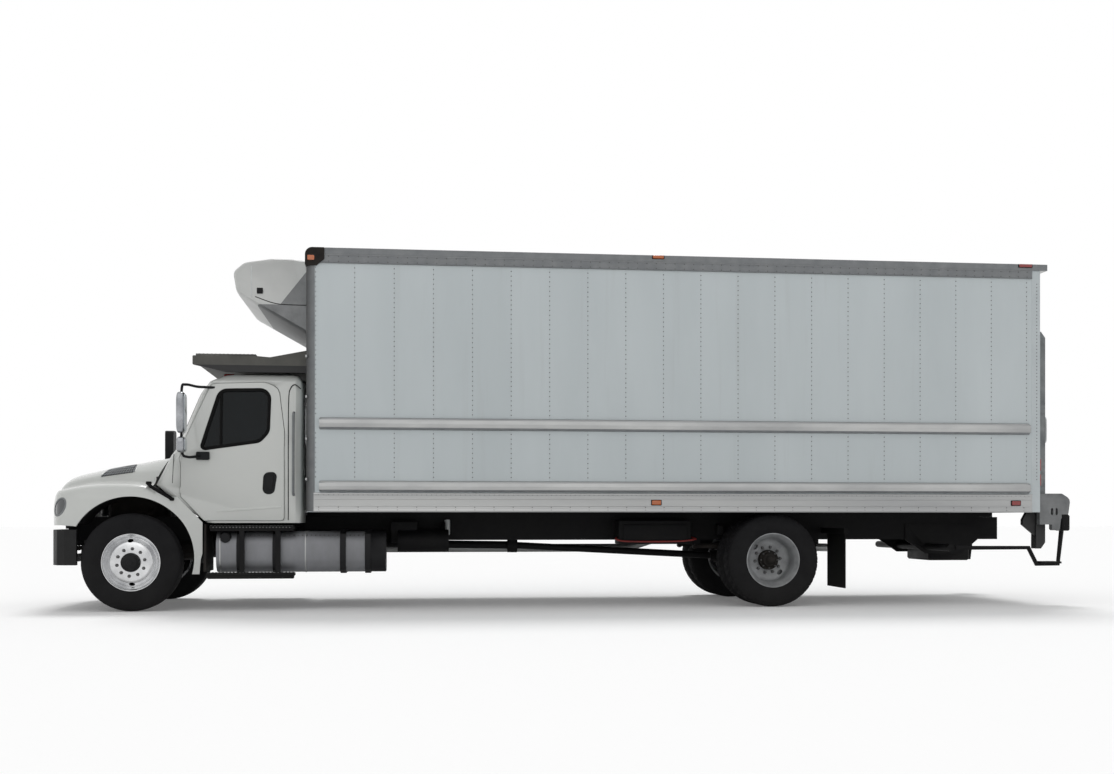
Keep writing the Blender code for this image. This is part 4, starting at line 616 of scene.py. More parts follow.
def slab(outline, axis, low, high):
    # a flat outline carried straight along an axis: (y, z) along x, (x, z) along y, (x, y) along z
    outline = np.asarray(outline, float)
    count = len(outline)
    level = np.repeat([low, high], count)
    u, v = np.tile(outline[:, 0], 2), np.tile(outline[:, 1], 2)
    points = spots(*{"x": (level, u, v), "y": (u, level, v), "z": (u, v, level)}[axis])
    around = np.arange(count)
    walls = np.stack([around, (around + 1) % count, (around + 1) % count + count, around + count], -1)
    return points, [walls, around[None, ::-1], around[None, :] + count]


def plate(outline, side, near, far):
    # an outline of (place, height) between two distances out on one side
    return slab(outline, "y", *sorted((side * near, side * far)))


def rounded(corners, steps=4):
    # an outline of (u, v, radius) with an arc at each corner
    points = []
    for index, (u, v, radius) in enumerate(corners):
        here = Vector((u, v))
        before = (Vector(corners[index - 1][:2]) - here).normalized()
        after = (Vector(corners[(index + 1) % len(corners)][:2]) - here).normalized()
        half = before.angle(after) / 2
        reach = radius / math.tan(half)
        centre = here + (before + after).normalized() * (radius / math.sin(half))
        start, end = here + before * reach - centre, here + after * reach - centre
        sweep = start.angle_signed(end)
        for step in range(steps + 1):
            turn = -sweep * step / steps
            points.append((centre.x + start.x * math.cos(turn) - start.y * math.sin(turn),
                           centre.y + start.x * math.sin(turn) + start.y * math.cos(turn)))
    return np.array(points)


def domes(centres, normal, radius, height, around=8):
    # low domes: rings at 100, 100 and 62 percent of the radius and a top, copied to every centre
    normal = np.asarray(normal, float)
    across = np.cross(normal, (0.0, 0.0, 1.0) if abs(normal[2]) < 0.9 else (1.0, 0.0, 0.0))
    across /= np.linalg.norm(across)
    beside = np.cross(normal, across)
    angle = np.linspace(0, math.tau, around, endpoint=False)[:, None]
    base = [reach * radius * (np.cos(angle) * across + np.sin(angle) * beside) + rise * height * normal
            for reach, rise in ((1.0, -0.3), (1.0, 0.25), (0.62, 0.85))]
    base = np.concatenate(base + [[normal * height]])
    ring = np.arange(around)
    last = 2 * around + ring
    cap = np.stack([last, (ring + 1) % around + 2 * around, np.full(around, 3 * around)], -1)
    centres = np.asarray(centres, float).reshape(-1, 3)
    shift = (np.arange(len(centres)) * len(base))[:, None, None]
    faces = [(group[None] + shift).reshape(-1, group.shape[1])
             for group in (gridFaces(3, around), cap, ring[None, ::-1])]
    return centres[:, None, :] + base[None, :, :], faces


def pillow(centre, half, power, rows=36, columns=72):
    # a ball whose sines and cosines are raised to a power below one, so it fills its box and stays round:
    # centre + half * (cos lift cos turn, cos lift sin turn, sin lift), each with its own sign kept
    lift = np.linspace(-math.pi / 2, math.pi / 2, rows)[:, None]
    turn = np.linspace(0, math.tau, columns, endpoint=False)[None, :]

    def swell(value):
        return np.sign(value) * np.abs(np.where(np.abs(value) < 1e-12, 0, value)) ** power

    points = spots(swell(np.cos(lift)) * swell(np.cos(turn)), swell(np.cos(lift)) * swell(np.sin(turn)),
                   swell(np.sin(lift)))
    return points * np.array(half) + np.array(centre), [gridFaces(rows, columns)]


def refine(node, width, sharp):
    # a CAD node's own shape with its loose triangles joined, flat faces made whole and edges eased
    source = frame["nodes"][node]
    shape = bmesh.new()
    shape.from_mesh(source.data)
    bmesh.ops.remove_doubles(shape, verts=shape.verts, dist=0.00003)
    bmesh.ops.dissolve_limit(shape, angle_limit=0.004, verts=shape.verts, edges=shape.edges)
    mesh = bpy.data.meshes.new(node + "_fine")
    shape.to_mesh(mesh)
    shape.free()
    piece = putObject(node + "_fine", mesh, nodeFinish[node], sharp, source["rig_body"], [node])
    if width:
        ease = piece.modifiers.new("eased edges", "BEVEL")
        ease.width, ease.segments, ease.limit_method = width, 2, "ANGLE"
        ease.angle_limit = math.radians(32)
        ease.harden_normals = True


# The finish on each CAD node, and smooth copies where a form is curved or shows its edges
for nodeName, finishName in nodeFinish.items():
    node = frame["nodes"][nodeName]
    for place in node.material_slots:
        place.material = finishes[finishName]
    if not node.material_slots:
        node.data.materials.append(finishes[finishName])

# (eased edge width, angle above which an edge stays sharp): nodes
smoothNodes = {
    (0.0, 50): "cab_shell windscreen refrigeration_unit door_ rear_axle", (0.0, 30): "fuel_tank",
    (0.004, 38): "roof rear_frame", (0.008, 40): "front_bumper",
    (0.003, 38): "gate_platform gate_column_ mudflap_",
    (0.0, 40): "front_wall exhaust_system rear_step_ dashboard front_axle driveshaft",
    (0.0, 38): "catwalk gate_runner engine_and_gearbox chassis_frame gate_power_unit cab_steps_ "
               "fender_mirror_right"}
for (easeWidth, smoothAngle), names in smoothNodes.items():
    for nodeName in eachNode(names):
        refine(nodeName, easeWidth, smoothAngle)
report("CAD nodes")

tyre = dict(radius=0.510, half=0.140, treadHalf=0.106, around=216, across=58, pitches=36, bore=0.300,
            grooves=(-0.066, -0.023, 0.023, 0.066), grooveWidth=0.0052, grooveDepth=0.015,
            ribs=((0.352, 0.0016), (0.470, 0.0014)),
            wall=((0.286, 0.094), (0.300, 0.113), (0.312, 0.119), (0.345, 0.131), (0.400, 0.1398),
                  (0.450, 0.136), (0.485, 0.123), (0.4985, 0.111)))


def tyreShape(y, side, x, lugs):
    # offsets run across the tread; the sidewall is a cubic from the bead over the bulge to the shoulder
    cross = np.linspace(-tyre["treadHalf"], tyre["treadHalf"], tyre["across"])
    crown = tyre["radius"] - 0.0002 - 0.007 * (cross / tyre["treadHalf"]) ** 4
    wallPath = smoothPath(tyre["wall"], 5)
    ribs = sum(height * np.exp(-((wallPath[:, 0] - place) / 0.002) ** 2) for place, height in tyre["ribs"])
    wallPath[:, 1] = np.minimum(wallPath[:, 1] + ribs, tyre["half"])
    radius = np.concatenate([wallPath[:, 0], crown[::-1], wallPath[::-1, 0], [tyre["bore"]] * 2])
    offset = np.concatenate([wallPath[:, 1], cross[::-1], -wallPath[::-1, 1], [-0.06, 0.06]])[None, :]
    angle = np.linspace(0, math.tau, tyre["around"], endpoint=False)[:, None]
    turns = tyre["pitches"] * angle
    onTread = ((radius > 0.495) & (np.abs(offset) <= tyre["treadHalf"] + 0.001)).astype(float)
    depth = np.zeros((tyre["around"], len(radius)))
    for groove in tyre["grooves"]:
        wander = 0.0035 * np.sign(np.sin(turns)) * (1 if lugs else 0.6)
        depth = np.maximum(depth, np.exp(-((offset - groove - wander) / tyre["grooveWidth"]) ** 4))
    if lugs:
        # slanted notches from each shoulder, and short ones across the middle ribs
        slant = np.cos(turns + 90 * np.abs(offset))
        notch = np.clip((slant - 0.45) * 4, 0, 1) * (np.abs(offset) > 0.060)
        fine = np.clip((np.cos(turns - 120 * offset) - 0.75) * 5, 0, 1) * 0.5
        depth = np.maximum(depth, np.maximum(notch, fine))
    else:
        fine = np.clip((np.cos(2 * turns) - 0.6) * 3, 0, 1) * 0.35 * (np.abs(offset) > 0.088)
        depth = np.maximum(depth, fine)
    shoulder = (radius > 0.462) & (np.abs(offset) > tyre["treadHalf"])
    scallop = np.clip((np.cos(turns + 9.5) - 0.45) * 4, 0, 1) * shoulder * (0.005 if lugs else 0.0015)
    reach = radius[None, :] - tyre["grooveDepth"] * depth * onTread - scallop * 0.6
    beside = offset - np.sign(offset) * scallop
    return (spots(x + reach * np.cos(angle), y + side * beside, tyre["radius"] + reach * np.sin(angle)),
            [gridFaces(tyre["around"], len(radius), True)])


# place on the axles, distance out, distance back, lugs in the tread, body
wheelPlaces = (("front", 1.03, 0.0, False, "front_wheel"),
               ("rear_outer", 1.082, wheelbase, True, "rear_wheels"),
               ("rear_inner", 0.746, wheelbase, True, "rear_wheels"))
for sideName, side in sides:
    for place, y, x, lugs, body in wheelPlaces:
        putMesh(f"tyre_tread_{place}_{sideName}", tyreShape(side * y, side, x, lugs), "tyreRubber", 48,
                f"{body}_{sideName}", [f"tyre_{place}_{sideName}"])
report("tyres")


def ovalHoles(centre, side, circle, size, phase, low, high):
    # cutters for the two hand holes: ovals on a circle, carried through the disc
    shapes = []
    turn = np.linspace(0, math.tau, 24, endpoint=False)
    along, out = size[0] * np.cos(turn), size[1] * np.sin(turn)
    for angle in (phase, math.pi + phase):
        x = centre[0] + (circle + out) * math.cos(angle) - along * math.sin(angle)
        z = centre[2] + (circle + out) * math.sin(angle) + along * math.cos(angle)
        ends = sorted((centre[1] + side * low, centre[1] + side * high))
        shapes.append(slab(np.stack([x, z], -1), "y", *ends))
    return merged(shapes)


def nutsRing(centre, side, circle, offset, count, radius, height, phase=0.0):
    # hexagonal nuts with a stud end, set round an axle
    profile = [(radius * 1.15, 0), (radius * 1.15, 0.004), (radius, 0.006), (radius, height * 0.8),
               (radius * 0.86, height), (radius * 0.45, height), (radius * 0.45, height * 1.35),
               (0, height * 1.42)]
    shapes = []
    for number in range(count):
        angle = math.tau * number / count + phase
        middle = (centre[0] + circle * math.cos(angle), centre[1] + side * offset,
                  centre[2] + circle * math.sin(angle))
        shapes.append(lathe(profile, middle, side, 6))
    return merged(shapes)


# holes: circle, half sizes, turn, depths; nuts: circle, offset, count, radius, height, turn;
# profiles: (radius, offset outwards)
frontWheel = dict(
    y=1.03, holes=(0.226, (0.030, 0.019), math.pi / 2 + 0.03, 0.02, 0.16),
    nuts=(0.143, 0.110, 10, 0.0165, 0.024, 0.2),
    disc=((0.2975, -0.1148), (0.2835, -0.0975), (0.2835, 0.0975), (0.2965, 0.1120), (0.2978, 0.1148),
          (0.2915, 0.1148), (0.2835, 0.1060), (0.2780, 0.0900), (0.2700, 0.0700), (0.2580, 0.0610),
          (0.2450, 0.0650), (0.2330, 0.0780), (0.2200, 0.0960), (0.2060, 0.1070), (0.1880, 0.1105),
          (0.1000, 0.1120), (0.0960, 0.1080), (0.0960, 0.0200), (0.1200, 0.0140), (0.1350, 0.0960),
          (0.2050, 0.0900), (0.2400, 0.0400), (0.2720, -0.1140)),
    drum=((0.150, -0.010), (0.252, -0.010), (0.252, 0.002), (0.150, 0.002)),
    hub=((0.099, 0.020), (0.099, 0.118), (0.096, 0.122), (0.096, 0.150), (0.092, 0.160), (0.078, 0.166),
         (0.074, 0.176), (0.066, 0.181), (0.030, 0.183), (0.028, 0.188), (0.0, 0.189)))
rearWheel = dict(
    y=1.082, holes=(0.196, (0.034, 0.022), 2.35, -0.17, -0.02), nuts=(0.143, -0.117, 10, 0.0165, 0.030, 0.1),
    bolts=(0.091, -0.052, 8, 0.009, 0.012),
    disc=((0.2978, -0.1148), (0.2835, -0.0975), (0.2835, 0.0975), (0.2965, 0.1120), (0.2978, 0.1148),
          (0.2900, 0.1148), (0.2800, 0.1020), (0.2720, 0.0820), (0.2560, 0.0640), (0.2500, 0.0400),
          (0.2440, 0.0100), (0.2420, -0.0400), (0.2400, -0.0720), (0.2340, -0.0900), (0.2200, -0.1020),
          (0.1900, -0.1120), (0.1100, -0.1180), (0.1060, -0.1140), (0.1060, -0.4560), (0.2000, -0.4540),
          (0.2050, -0.2360), (0.2400, -0.2560), (0.2780, -0.4500), (0.2978, -0.4508), (0.2835, -0.4335),
          (0.2835, -0.2385), (0.2978, -0.2212), (0.2700, -0.2180), (0.2700, -0.1180)),
    hub=((0.109, -0.200), (0.109, -0.060), (0.105, -0.052), (0.082, -0.050), (0.080, -0.030), (0.070, -0.018),
         (0.030, -0.014), (0.0, -0.013)))
for sideName, side in sides:
    body, centre = f"front_wheel_{sideName}", (0.0, side * frontWheel["y"], tyre["radius"])
    carved(f"front_disc_{sideName}", lathe(frontWheel["disc"], centre, side, 128, True),
           [("DIFFERENCE", ovalHoles(centre, side, *frontWheel["holes"]))], "polishedAluminium", 38, body,
           [f"wheel_front_{sideName}"])
    putMesh(f"front_nuts_{sideName}", nutsRing(centre, side, *frontWheel["nuts"]), "boltSteel", 25, body)
    putMesh(f"front_drum_{sideName}", lathe(frontWheel["drum"], centre, side, 64, True),
            "blackRubber", 30, body)
    putMesh(f"front_hub_{sideName}", lathe(frontWheel["hub"], centre, side, 48), "darkPlastic", 30, body)
for sideName, side in sides:
    body, centre = f"rear_wheels_{sideName}", (wheelbase, side * rearWheel["y"], tyre["radius"])
    carved(f"rear_rims_{sideName}", lathe(rearWheel["disc"], centre, side, 128, True),
           [("DIFFERENCE", ovalHoles(centre, side, *rearWheel["holes"]))], "wheelWhite", 38, body,
           [f"wheel_rear_{sideName}"])
    putMesh(f"rear_nuts_{sideName}", nutsRing(centre, side, *rearWheel["nuts"]), "boltSteel", 25, body)
    putMesh(f"rear_hub_{sideName}", lathe(rearWheel["hub"], centre, side, 48), "castIron", 30, body)
    putMesh(f"rear_hub_bolts_{sideName}", nutsRing(centre, side, *rearWheel["bolts"]), "boltSteel", 25, body)
report("wheels")

rails = dict(front=1.88, rear=9.74, heights=((3.630, 3.718), (1.034, 1.235)), ribs=(1.100, 1.172), out=1.3075,
             rub=((1.9575, 0.125), (1.3025, 0.115)), rubOut=1.3425)
# rows of rivets along the rails (height, step) and up the ends (place, step)
railRivets = dict(radius=0.0058, height=0.0040, rows=((3.648, 0.102), (3.700, 0.102), (1.055, 0.2030),
                                                      (1.085, 0.2030), (1.215, 0.0508)),
                  ends=((1.897, 0.0508), (9.800, 0.0381)), clear=0.075)
corner = dict(low=1.040, high=3.716, cap=(1.150, 1.3165), lamp=(1.300, 1.3235),
              hooks=(1.36, 1.78, 2.22, 2.64),
              capOutline=((1.789, 3.600, 0.012), (1.905, 3.600, 0.015), (1.988, 3.668, 0.015),
                          (1.988, 3.7895, 0.004), (1.789, 3.7895, 0.075)),
              lampOutline=((1.815, 3.655, 0.008), (1.885, 3.655, 0.008), (1.885, 3.705, 0.008),
                           (1.815, 3.705, 0.008)))


def railSection(side, low, high):
    # a rolled section: a flat web with a bead near each edge, as (side, height)
    share = np.array([0.0, 0.02, 0.06, 0.10, 0.13, 0.17, 0.50, 0.83, 0.87, 0.90, 0.94, 0.98, 1.0])
    bead = np.array([0.0, 0.7, 1.0, 0.7, 0.15, 0.0, 0.0, 0.0, 0.15, 0.7, 1.0, 0.7, 0.0])
    face = np.stack([side * (rails["out"] + 0.006 * bead), low + (high - low) * share], -1)
    return np.concatenate([face, [(side * (bodyHalf - 0.004), high), (side * (bodyHalf - 0.004), low)]])


def rubRail(side, z, height):
    # a half-round bumper rail: an ellipse arc for its section, its reach falling to nothing at each end
    along = np.array([1.940, 1.944, 1.960, 1.985, 2.02, 4.0, 6.0, 8.0, 9.635, 9.670, 9.695, 9.708, 9.712])
    reach = np.array([0.20, 0.45, 0.72, 0.93, 1.0, 1.0, 1.0, 1.0, 1.0, 0.93, 0.72, 0.45, 0.20])
    arc = np.linspace(-90, 90, 15) * math.pi / 180
    depth = rails["rubOut"] + 0.0035 - bodyHalf
    y = bodyHalf - 0.004 + depth * reach[:, None] * np.cos(arc)[None, :] ** 0.6
    points = spots(along[:, None], side * y, z + (height / 2 + 0.001) * np.sin(arc))
    return points, skin(len(along), len(arc))


def cornerSection(side):
    # the rounded post over a front corner: an arc between the lap on the side and the one on the front
    arc = np.linspace(0, 90, 11) * math.pi / 180
    bend = np.stack([bodyStart - 0.004 + 0.075 * (1 - np.sin(arc)),
                     bodyHalf - 0.071 + 0.0755 * np.cos(arc)], -1)
    section = np.concatenate([[(1.888, bodyHalf + 0.0045), (1.880, bodyHalf + 0.0045)], bend,
                              [(bodyStart - 0.0040, 1.150), (bodyStart - 0.0005, 1.148),
                               (bodyStart + 0.004, 1.150), (1.888, bodyHalf - 0.003)]])
    return section * (1, side)


for sideName, side in sides:
    railEnds = rails["front"], rails["rear"]
    railShapes = [slab(railSection(side, *heights), "x", *railEnds) for heights in rails["heights"]]
    railShapes += [strip(spots((railEnds[0] + 0.01, railEnds[1] - 0.01), side * rails["out"], z), (0, side, 0),
                         0.012, 0.005) for z in rails["ribs"]]
    putMesh(f"body_rails_{sideName}", merged(railShapes), "bodyRail", 40)
    putMesh(f"rub_rails_{sideName}", merged([rubRail(side, *row) for row in rails["rub"]]), "rubRail", 50)

    upperRub = rails["rub"][0][0]
    heights = np.arange(rivets["low"], rivets["high"], rivets["step"])
    heights = heights[np.abs(heights - upperRub) > railRivets["clear"]]
    rows = [spots(rivets["first"] + rivets["pitch"] * number, side * bodyHalf, heights)
            for number in range(rivets["count"])]
    putMesh(f"sheet_rivets_{sideName}", domes(np.concatenate(rows), (0, side, 0), rivets["radius"],
                                              rivets["height"], 6), "boltSteel", 60)
    rows = [spots(np.arange(railEnds[0] + 0.05, railEnds[1] - 0.03, step), side * (rails["out"] + 0.001), z)
            for z, step in railRivets["rows"]]
    for x, step in railRivets["ends"]:
        z = np.arange(rivets["low"], rivets["high"], step)
        z = z[(np.abs(z - upperRub) > railRivets["clear"]) | (x > railEnds[1])]
        rows.append(spots(x, side * bodyHalf, z))
    putMesh(f"rail_rivets_{sideName}", domes(np.concatenate(rows), (0, side, 0), railRivets["radius"],
                                             railRivets["height"], 6), "boltSteel", 60)

    # the front corner: its post, coloured darker towards its front as painted shade, the cast cap at its top
    # with a lamp, and tie hooks up it
    putMesh(f"corner_post_{sideName}", slab(cornerSection(side), "z", corner["low"], corner["high"]),
            "cornerPostPaintedShade", 40)
    putMesh(f"corner_cap_{sideName}", plate(rounded(corner["capOutline"], 8), side, *corner["cap"]),
            "castIron", 40)
    putMesh(f"corner_lamp_{sideName}", plate(rounded(corner["lampOutline"]), side, *corner["lamp"]),
            "amberLens", 40)
    hooks = [(1.792, side * 1.255, z, 1.812, side * 1.315, z + 0.030) for z in corner["hooks"]]
    putMesh(f"tie_hooks_{sideName}", blocks(hooks, 0.008, 3), "bareAluminium", 50)
report("cargo body")

# lamps on the body: place, distance out, height, half length, half height
markerLamps = (("amber_top", 5.52, 1.3065, 3.772, 0.060, 0.017, "amberLens"),
               ("red_top", 9.66, 1.3065, 3.772, 0.075, 0.017, "redLens"),
               ("amber_low", 5.50, 1.3075, 1.137, 0.050, 0.024, "amberLens"),
               ("red_low", 9.55, 1.3075, 1.137, 0.050, 0.024, "redLens"))
roofTop = 3.7895
for sideName, side in sides:
    for lampName, x, y, z, halfLength, halfHeight, lens in markerLamps:
        putMesh(f"marker_{lampName}_{sideName}",
                block((x - halfLength, side * y, z - halfHeight),
                      (x + halfLength, side * (y + 0.016), z + halfHeight), 0.008, 3), lens, 50)
        ends, low = (x - halfLength - 0.008, x + halfLength + 0.008), z - halfHeight - 0.006
        high = min(z + halfHeight + 0.006, roofTop)
        bezel = rounded([(ends[0], low, 0.008), (ends[1], low, 0.008), (ends[1], high, 0.008),
                         (ends[0], high, 0.008)])
        putMesh(f"marker_base_{lampName}_{sideName}", plate(bezel, side, y - 0.003, y + 0.005), "darkPlastic")
report("lamps")

cab = dict(
    # height, front in the middle, how far the front bows back to its corners, inset of the edge
    slices=((0.92, 0.757, 0.0, 0.0), (1.20, 0.420, -0.06, 0.0), (1.32, 0.360, -0.14, 0.0),
            (1.63, 0.330, 0.07, 0.0), (1.70, 0.360, 0.10, 0.0), (2.00, 0.487, 0.098, 0.0),
            (2.30, 0.613, 0.090, 0.0), (2.42, 0.700, 0.085, 0.010), (2.485, 0.860, 0.070, 0.050), (2.51, 1.060, 0.050, 0.190)),
    belt=1.70, leanRise=0.81, lean=0.09,
    screen=((-0.975, 1.690, 0.05), (0.975, 1.690, 0.05), (0.865, 2.300, 0.07), (-0.865, 2.300, 0.07)),
    window=((0.700, 1.690, 0.03), (0.890, 2.318, 0.10), (1.405, 2.330, 0.10), (1.392, 1.880, 0.12),
            (1.300, 1.778, 0.10)),
    ventBar=0.905,
    bowl=((1.330, 1.215, 0.06), (1.455, 1.225, 0.06), (1.490, 1.460, 0.05), (1.345, 1.450, 0.06)),
    pull=((1.365, 1.275, 0.03), (1.435, 1.280, 0.03), (1.450, 1.420, 0.03), (1.375, 1.415, 0.03)),
    # (distance out, height) of the rail, and (place, height) of the rear corner panel's seam
    grab=((1.098, 1.215), (1.150, 1.235), (1.158, 1.300), (1.150, 1.70), (1.128, 2.020), (1.100, 2.075),
          (1.055, 2.085)), grabX=1.655,
    seam=((1.600, 0.95), (1.600, 1.70), (1.600, 2.22), (1.618, 2.345), (1.665, 2.385), (1.725, 2.340)))
cabHeight, cabFront, cabBow, cabInset = np.array(cab["slices"]).T


def lean(y, z):
    # the sides lean in above the belt line: y (1 - 0.09 ((z - 1.70) / 0.81) ^ 1.3)
    rise = np.clip((np.asarray(z, float) - cab["belt"]) / cab["leanRise"], 0, None)
    return y * (1 - cab["lean"] * rise ** 1.3)


def onCab(x, z, side, sunk=0.0):
    # points on the cab's side, and the normals there
    slope = (lean(cabHalf, z + 0.01) - lean(cabHalf, z - 0.01)) / 0.02
    return spots(x, side * (lean(cabHalf, z) - sunk), z), unit(spots(0, side + 0 * slope, -slope))


def slopes(surface, u, v, step):
    return ((surface(u + step, v) - surface(u - step, v)) / (2 * step),
            (surface(u, v + step) - surface(u, v - step)) / (2 * step))


def screenPoint(y, z):
    # the windscreen's face: the front line plus a bow that grows with the square of the side share
    front, bow, inset = (np.interp(z, cabHeight, row) for row in (cabFront, cabBow, cabInset))
    return front + bow * (np.abs(y) / (lean(cabHalf, z) - inset)) ** 2


def onScreen(outline):
    y, z = np.asarray(outline).T
    return spots(screenPoint(y, z), y, z), unit(spots(-1, *slopes(screenPoint, y, z, 0.01)))


def spread(outline, step):
    # an outline's points set evenly, about a step apart, round its whole length
    closed = np.concatenate([outline, outline[:1]])
    length = np.concatenate([[0], np.cumsum(np.linalg.norm(np.diff(closed, axis=0), axis=1))])
    marks = np.linspace(0, length[-1], max(int(length[-1] / step), 8), endpoint=False)
    return np.stack([np.interp(marks, length, closed[:, axis]) for axis in range(closed.shape[1])], -1)


putMesh("windscreen_seal", strip(*onScreen(spread(rounded(cab["screen"], 6), 0.03)), 0.040, 0.006, True),
        "blackRubber", 50)

# mirrors: an arm bent like a C, two rounded heads on it, and the glass facing back;
# arm points are (place, distance out, height), pillows (centre, half sizes, power)
mirror = dict(arm=((0.705, 1.118, 1.620), (0.600, 1.298, 1.600), (0.545, 1.325, 1.660), (0.545, 1.325, 1.980),
                   (0.545, 1.325, 2.300), (0.580, 1.300, 2.345), (0.662, 1.095, 2.345), (0.740, 1.052, 2.345),
                   (0.830, 1.016, 2.345)), radius=0.0138,
              foot=((0.657, 1.099, 1.577), (0.793, 1.148, 1.663)),
              heads=(((0.5575, 1.4272, 2.045), (0.0425, 0.1025, 0.210), 0.42),
                     ((0.5575, 1.4170, 1.720), (0.0425, 0.0920, 0.082), 0.50)),
              glass=(((0.5980, 1.4270, 2.045), (0.0045, 0.0860, 0.186), 0.40),
                     ((0.5980, 1.4170, 1.720), (0.0045, 0.0760, 0.062), 0.45)))

for sideName, side in sides:
    body = f"door_{sideName}"
    path, normals = onCab(*spread(rounded(cab["window"], 8), 0.02).T, side)
    putMesh(f"window_seal_{sideName}", strip(path, normals, 0.034, 0.006, True), "blackRubber", 50, body)
    # the upright bar between the vent pane and the window
    path, normals = onCab(cab["ventBar"], np.linspace(1.735, 2.312, 12), side, 0.008)
    putMesh(f"vent_bar_{sideName}", strip(path, normals, 0.026, 0.010), "blackRubber", 50, body)
    # door handle: a dark oval bowl with its pull
    handle = [plate(rounded(cab["bowl"], 6), side, cabHalf - 0.010, cabHalf + 0.0035),
              plate(rounded(cab["pull"], 5), side, cabHalf - 0.010, cabHalf + 0.016)]
    putMesh(f"door_handle_{sideName}", merged(handle), "darkPlastic", 40, body)
    # the pressed crease low on the door
    x = np.linspace(0.86, 1.53, 16)
    crease = spots(x, side * cabHalf, 1.045 + 0.045 * (x - 0.86) / 0.67)
    putMesh(f"door_crease_{sideName}", strip(crease, (0, side, 0), 0.030, 0.006), "whitePaint", 60, body)
    # grab handle on the panel behind the door
    grab = smoothPath([(cab["grabX"], side * y, z) for y, z in cab["grab"]], 6)
    putMesh(f"grab_handle_{sideName}", tube(grab, 0.014, 12), "sealantGrey", 60)
    # seams of the rear corner panel and of the cowl
    cowl = np.linspace(1.335, 1.640, 8)
    putMesh(f"cab_seams_{sideName}", merged([
        strip(*onCab(*smoothPath(cab["seam"], 8).T, side), 0.010, 0.0016),
        strip(*onCab(0.412 + 0.05 * (cowl - 1.335), cowl, side), 0.006, 0.0012)]), "blackRubber", 60)
    arm = tube(smoothPath(mirrored(mirror["arm"], side), 8), mirror["radius"], 12)
    foot = block(*mirrored(mirror["foot"], side), 0.012, 3)
    putMesh(f"mirror_arm_{sideName}", merged([arm, foot]), "darkPlastic", 60, body, [f"mirror_{sideName}"])
    for part, finish, sharp in (("heads", "brightSteel", 60), ("glass", "mirrorGlass", 40)):
        shapes = [pillow(mirrored(centre, side), half, power) for centre, half, power in mirror[part]]
        putMesh(f"mirror_{part}_{sideName}", merged(shapes), finish, sharp, body)

# marker lamps along the roof's front edge
roofLamps = [block((0.885, y - 0.045, 2.470), (1.005, y + 0.045, 2.520), 0.022, 5)
             for y in (-0.72, -0.22, 0.0, 0.22, 0.72)]
putMesh("roof_lamps", merged(roofLamps), "redLens", 60)

# wipers: arms and blades that lie on the windscreen
wipers = []
for y in (-0.55, 0.10):
    path, normals = onScreen(np.linspace((y + 0.32, 1.655), (y + 0.10, 1.98), 8))
    wipers.append(tube(path + normals * 0.022, np.linspace(0.009, 0.005, 8), 8))
    path, normals = onScreen(np.linspace((y - 0.12, 1.93), (y + 0.33, 2.02), 14))
    wipers.append(strip(path + normals * 0.010, normals, 0.014, 0.010, sink=0.008))
putMesh("wipers", merged(wipers), "blackRubber", 50)
report("cab")

# The hood: each slice across it is a spline, and so is the run of the slices from the nose to the cowl.
# Outlines are (place, height), but taper is (place, distance out) and grille is (side, height, radius).
hood = dict(
    wall=0.030, between=6, around=5, archRadius=0.64, archZ=0.555, depth=(0.86, 1.30),
    # place, half width, half width of the raised centre, height of the fender's top, crown, foot
    slices=((-0.845, 0.80, 0.54, 1.20, 1.34, 0.895), (-0.790, 1.01, 0.58, 1.26, 1.400, 0.895),
            (-0.690, 1.11, 0.63, 1.285, 1.445, 0.895), (-0.450, 1.160, 0.70, 1.325, 1.500, 0.860),
            (-0.150, 1.175, 0.76, 1.340, 1.555, 0.700), (0.160, 1.170, 0.82, 1.325, 1.610, 0.500),
            (0.420, 1.165, 0.88, 1.235, 1.650, 0.400)),
    grille=((-0.50, 0.94, 0.04), (0.50, 0.94, 0.04), (0.575, 1.135, 0.06), (0.465, 1.292, 0.06),
            (-0.465, 1.292, 0.06), (-0.575, 1.135, 0.06)),
    tail=((0.255, 1.260), (0.475, 1.260), (0.475, 1.185), (0.723, 0.925), (0.722, 0.600), (0.705, 0.540),
          (0.690, 0.385), (0.540, 0.385), (0.255, 0.700)),
    taper=((0.36, 1.170), (0.36, 1.40), (0.90, 1.40), (0.90, 1.130), (0.50, 1.133)),
    above=((0.180, 1.310), (0.405, 1.192), (0.95, 1.192), (0.95, 1.80), (0.382, 1.80), (0.316, 1.640)),
    inside=((0.200, 1.410), (0.200, 0.20), (0.95, 0.20), (0.95, 1.410)))
headlamp = dict(centre=(-0.725, 1.085), long=0.098, short=0.058, tilt=62)


def hoodRings(inset, between):
    # the nose starts flush with its face: the slice before the first lies as far behind it as the second
    slices = np.array(hood["slices"])
    before = 2 * slices[0] - slices[1]
    before[0] = slices[1, 0]
    x, half, shoulder, fender, top, low = smoothPath(np.concatenate([[before], slices]), between)[between:].T
    half, shoulder, fender, top = half - inset, shoulder - inset, fender - inset, top - inset
    low = low - 2 * inset
    corners = ((half, low), (half, low + (fender - low) * 0.55), (half - 0.015, fender - 0.10),
               (half - 0.10, fender - 0.015), (shoulder + 0.06, fender + 0.005),
               (shoulder - 0.03, fender + (top - fender) * 0.55), (shoulder * 0.72, top - 0.025),
               (shoulder * 0.3, top))
    right = np.stack([np.stack(pair, -1) for pair in corners], 1)
    ring = np.concatenate([right * (-1, 1), right[:, ::-1]], 1)
    curve = np.stack([smoothPath(row, hood["around"]) for row in ring])
    front = np.maximum(x, x[0] + inset)
    front[-1] += 2 * inset
    return spots(front[:, None], curve[..., 0], curve[..., 1])


def hoodSolid(inset):
    rings = hoodRings(inset, hood["between"])
    return rings, skin(*rings.shape[:2])


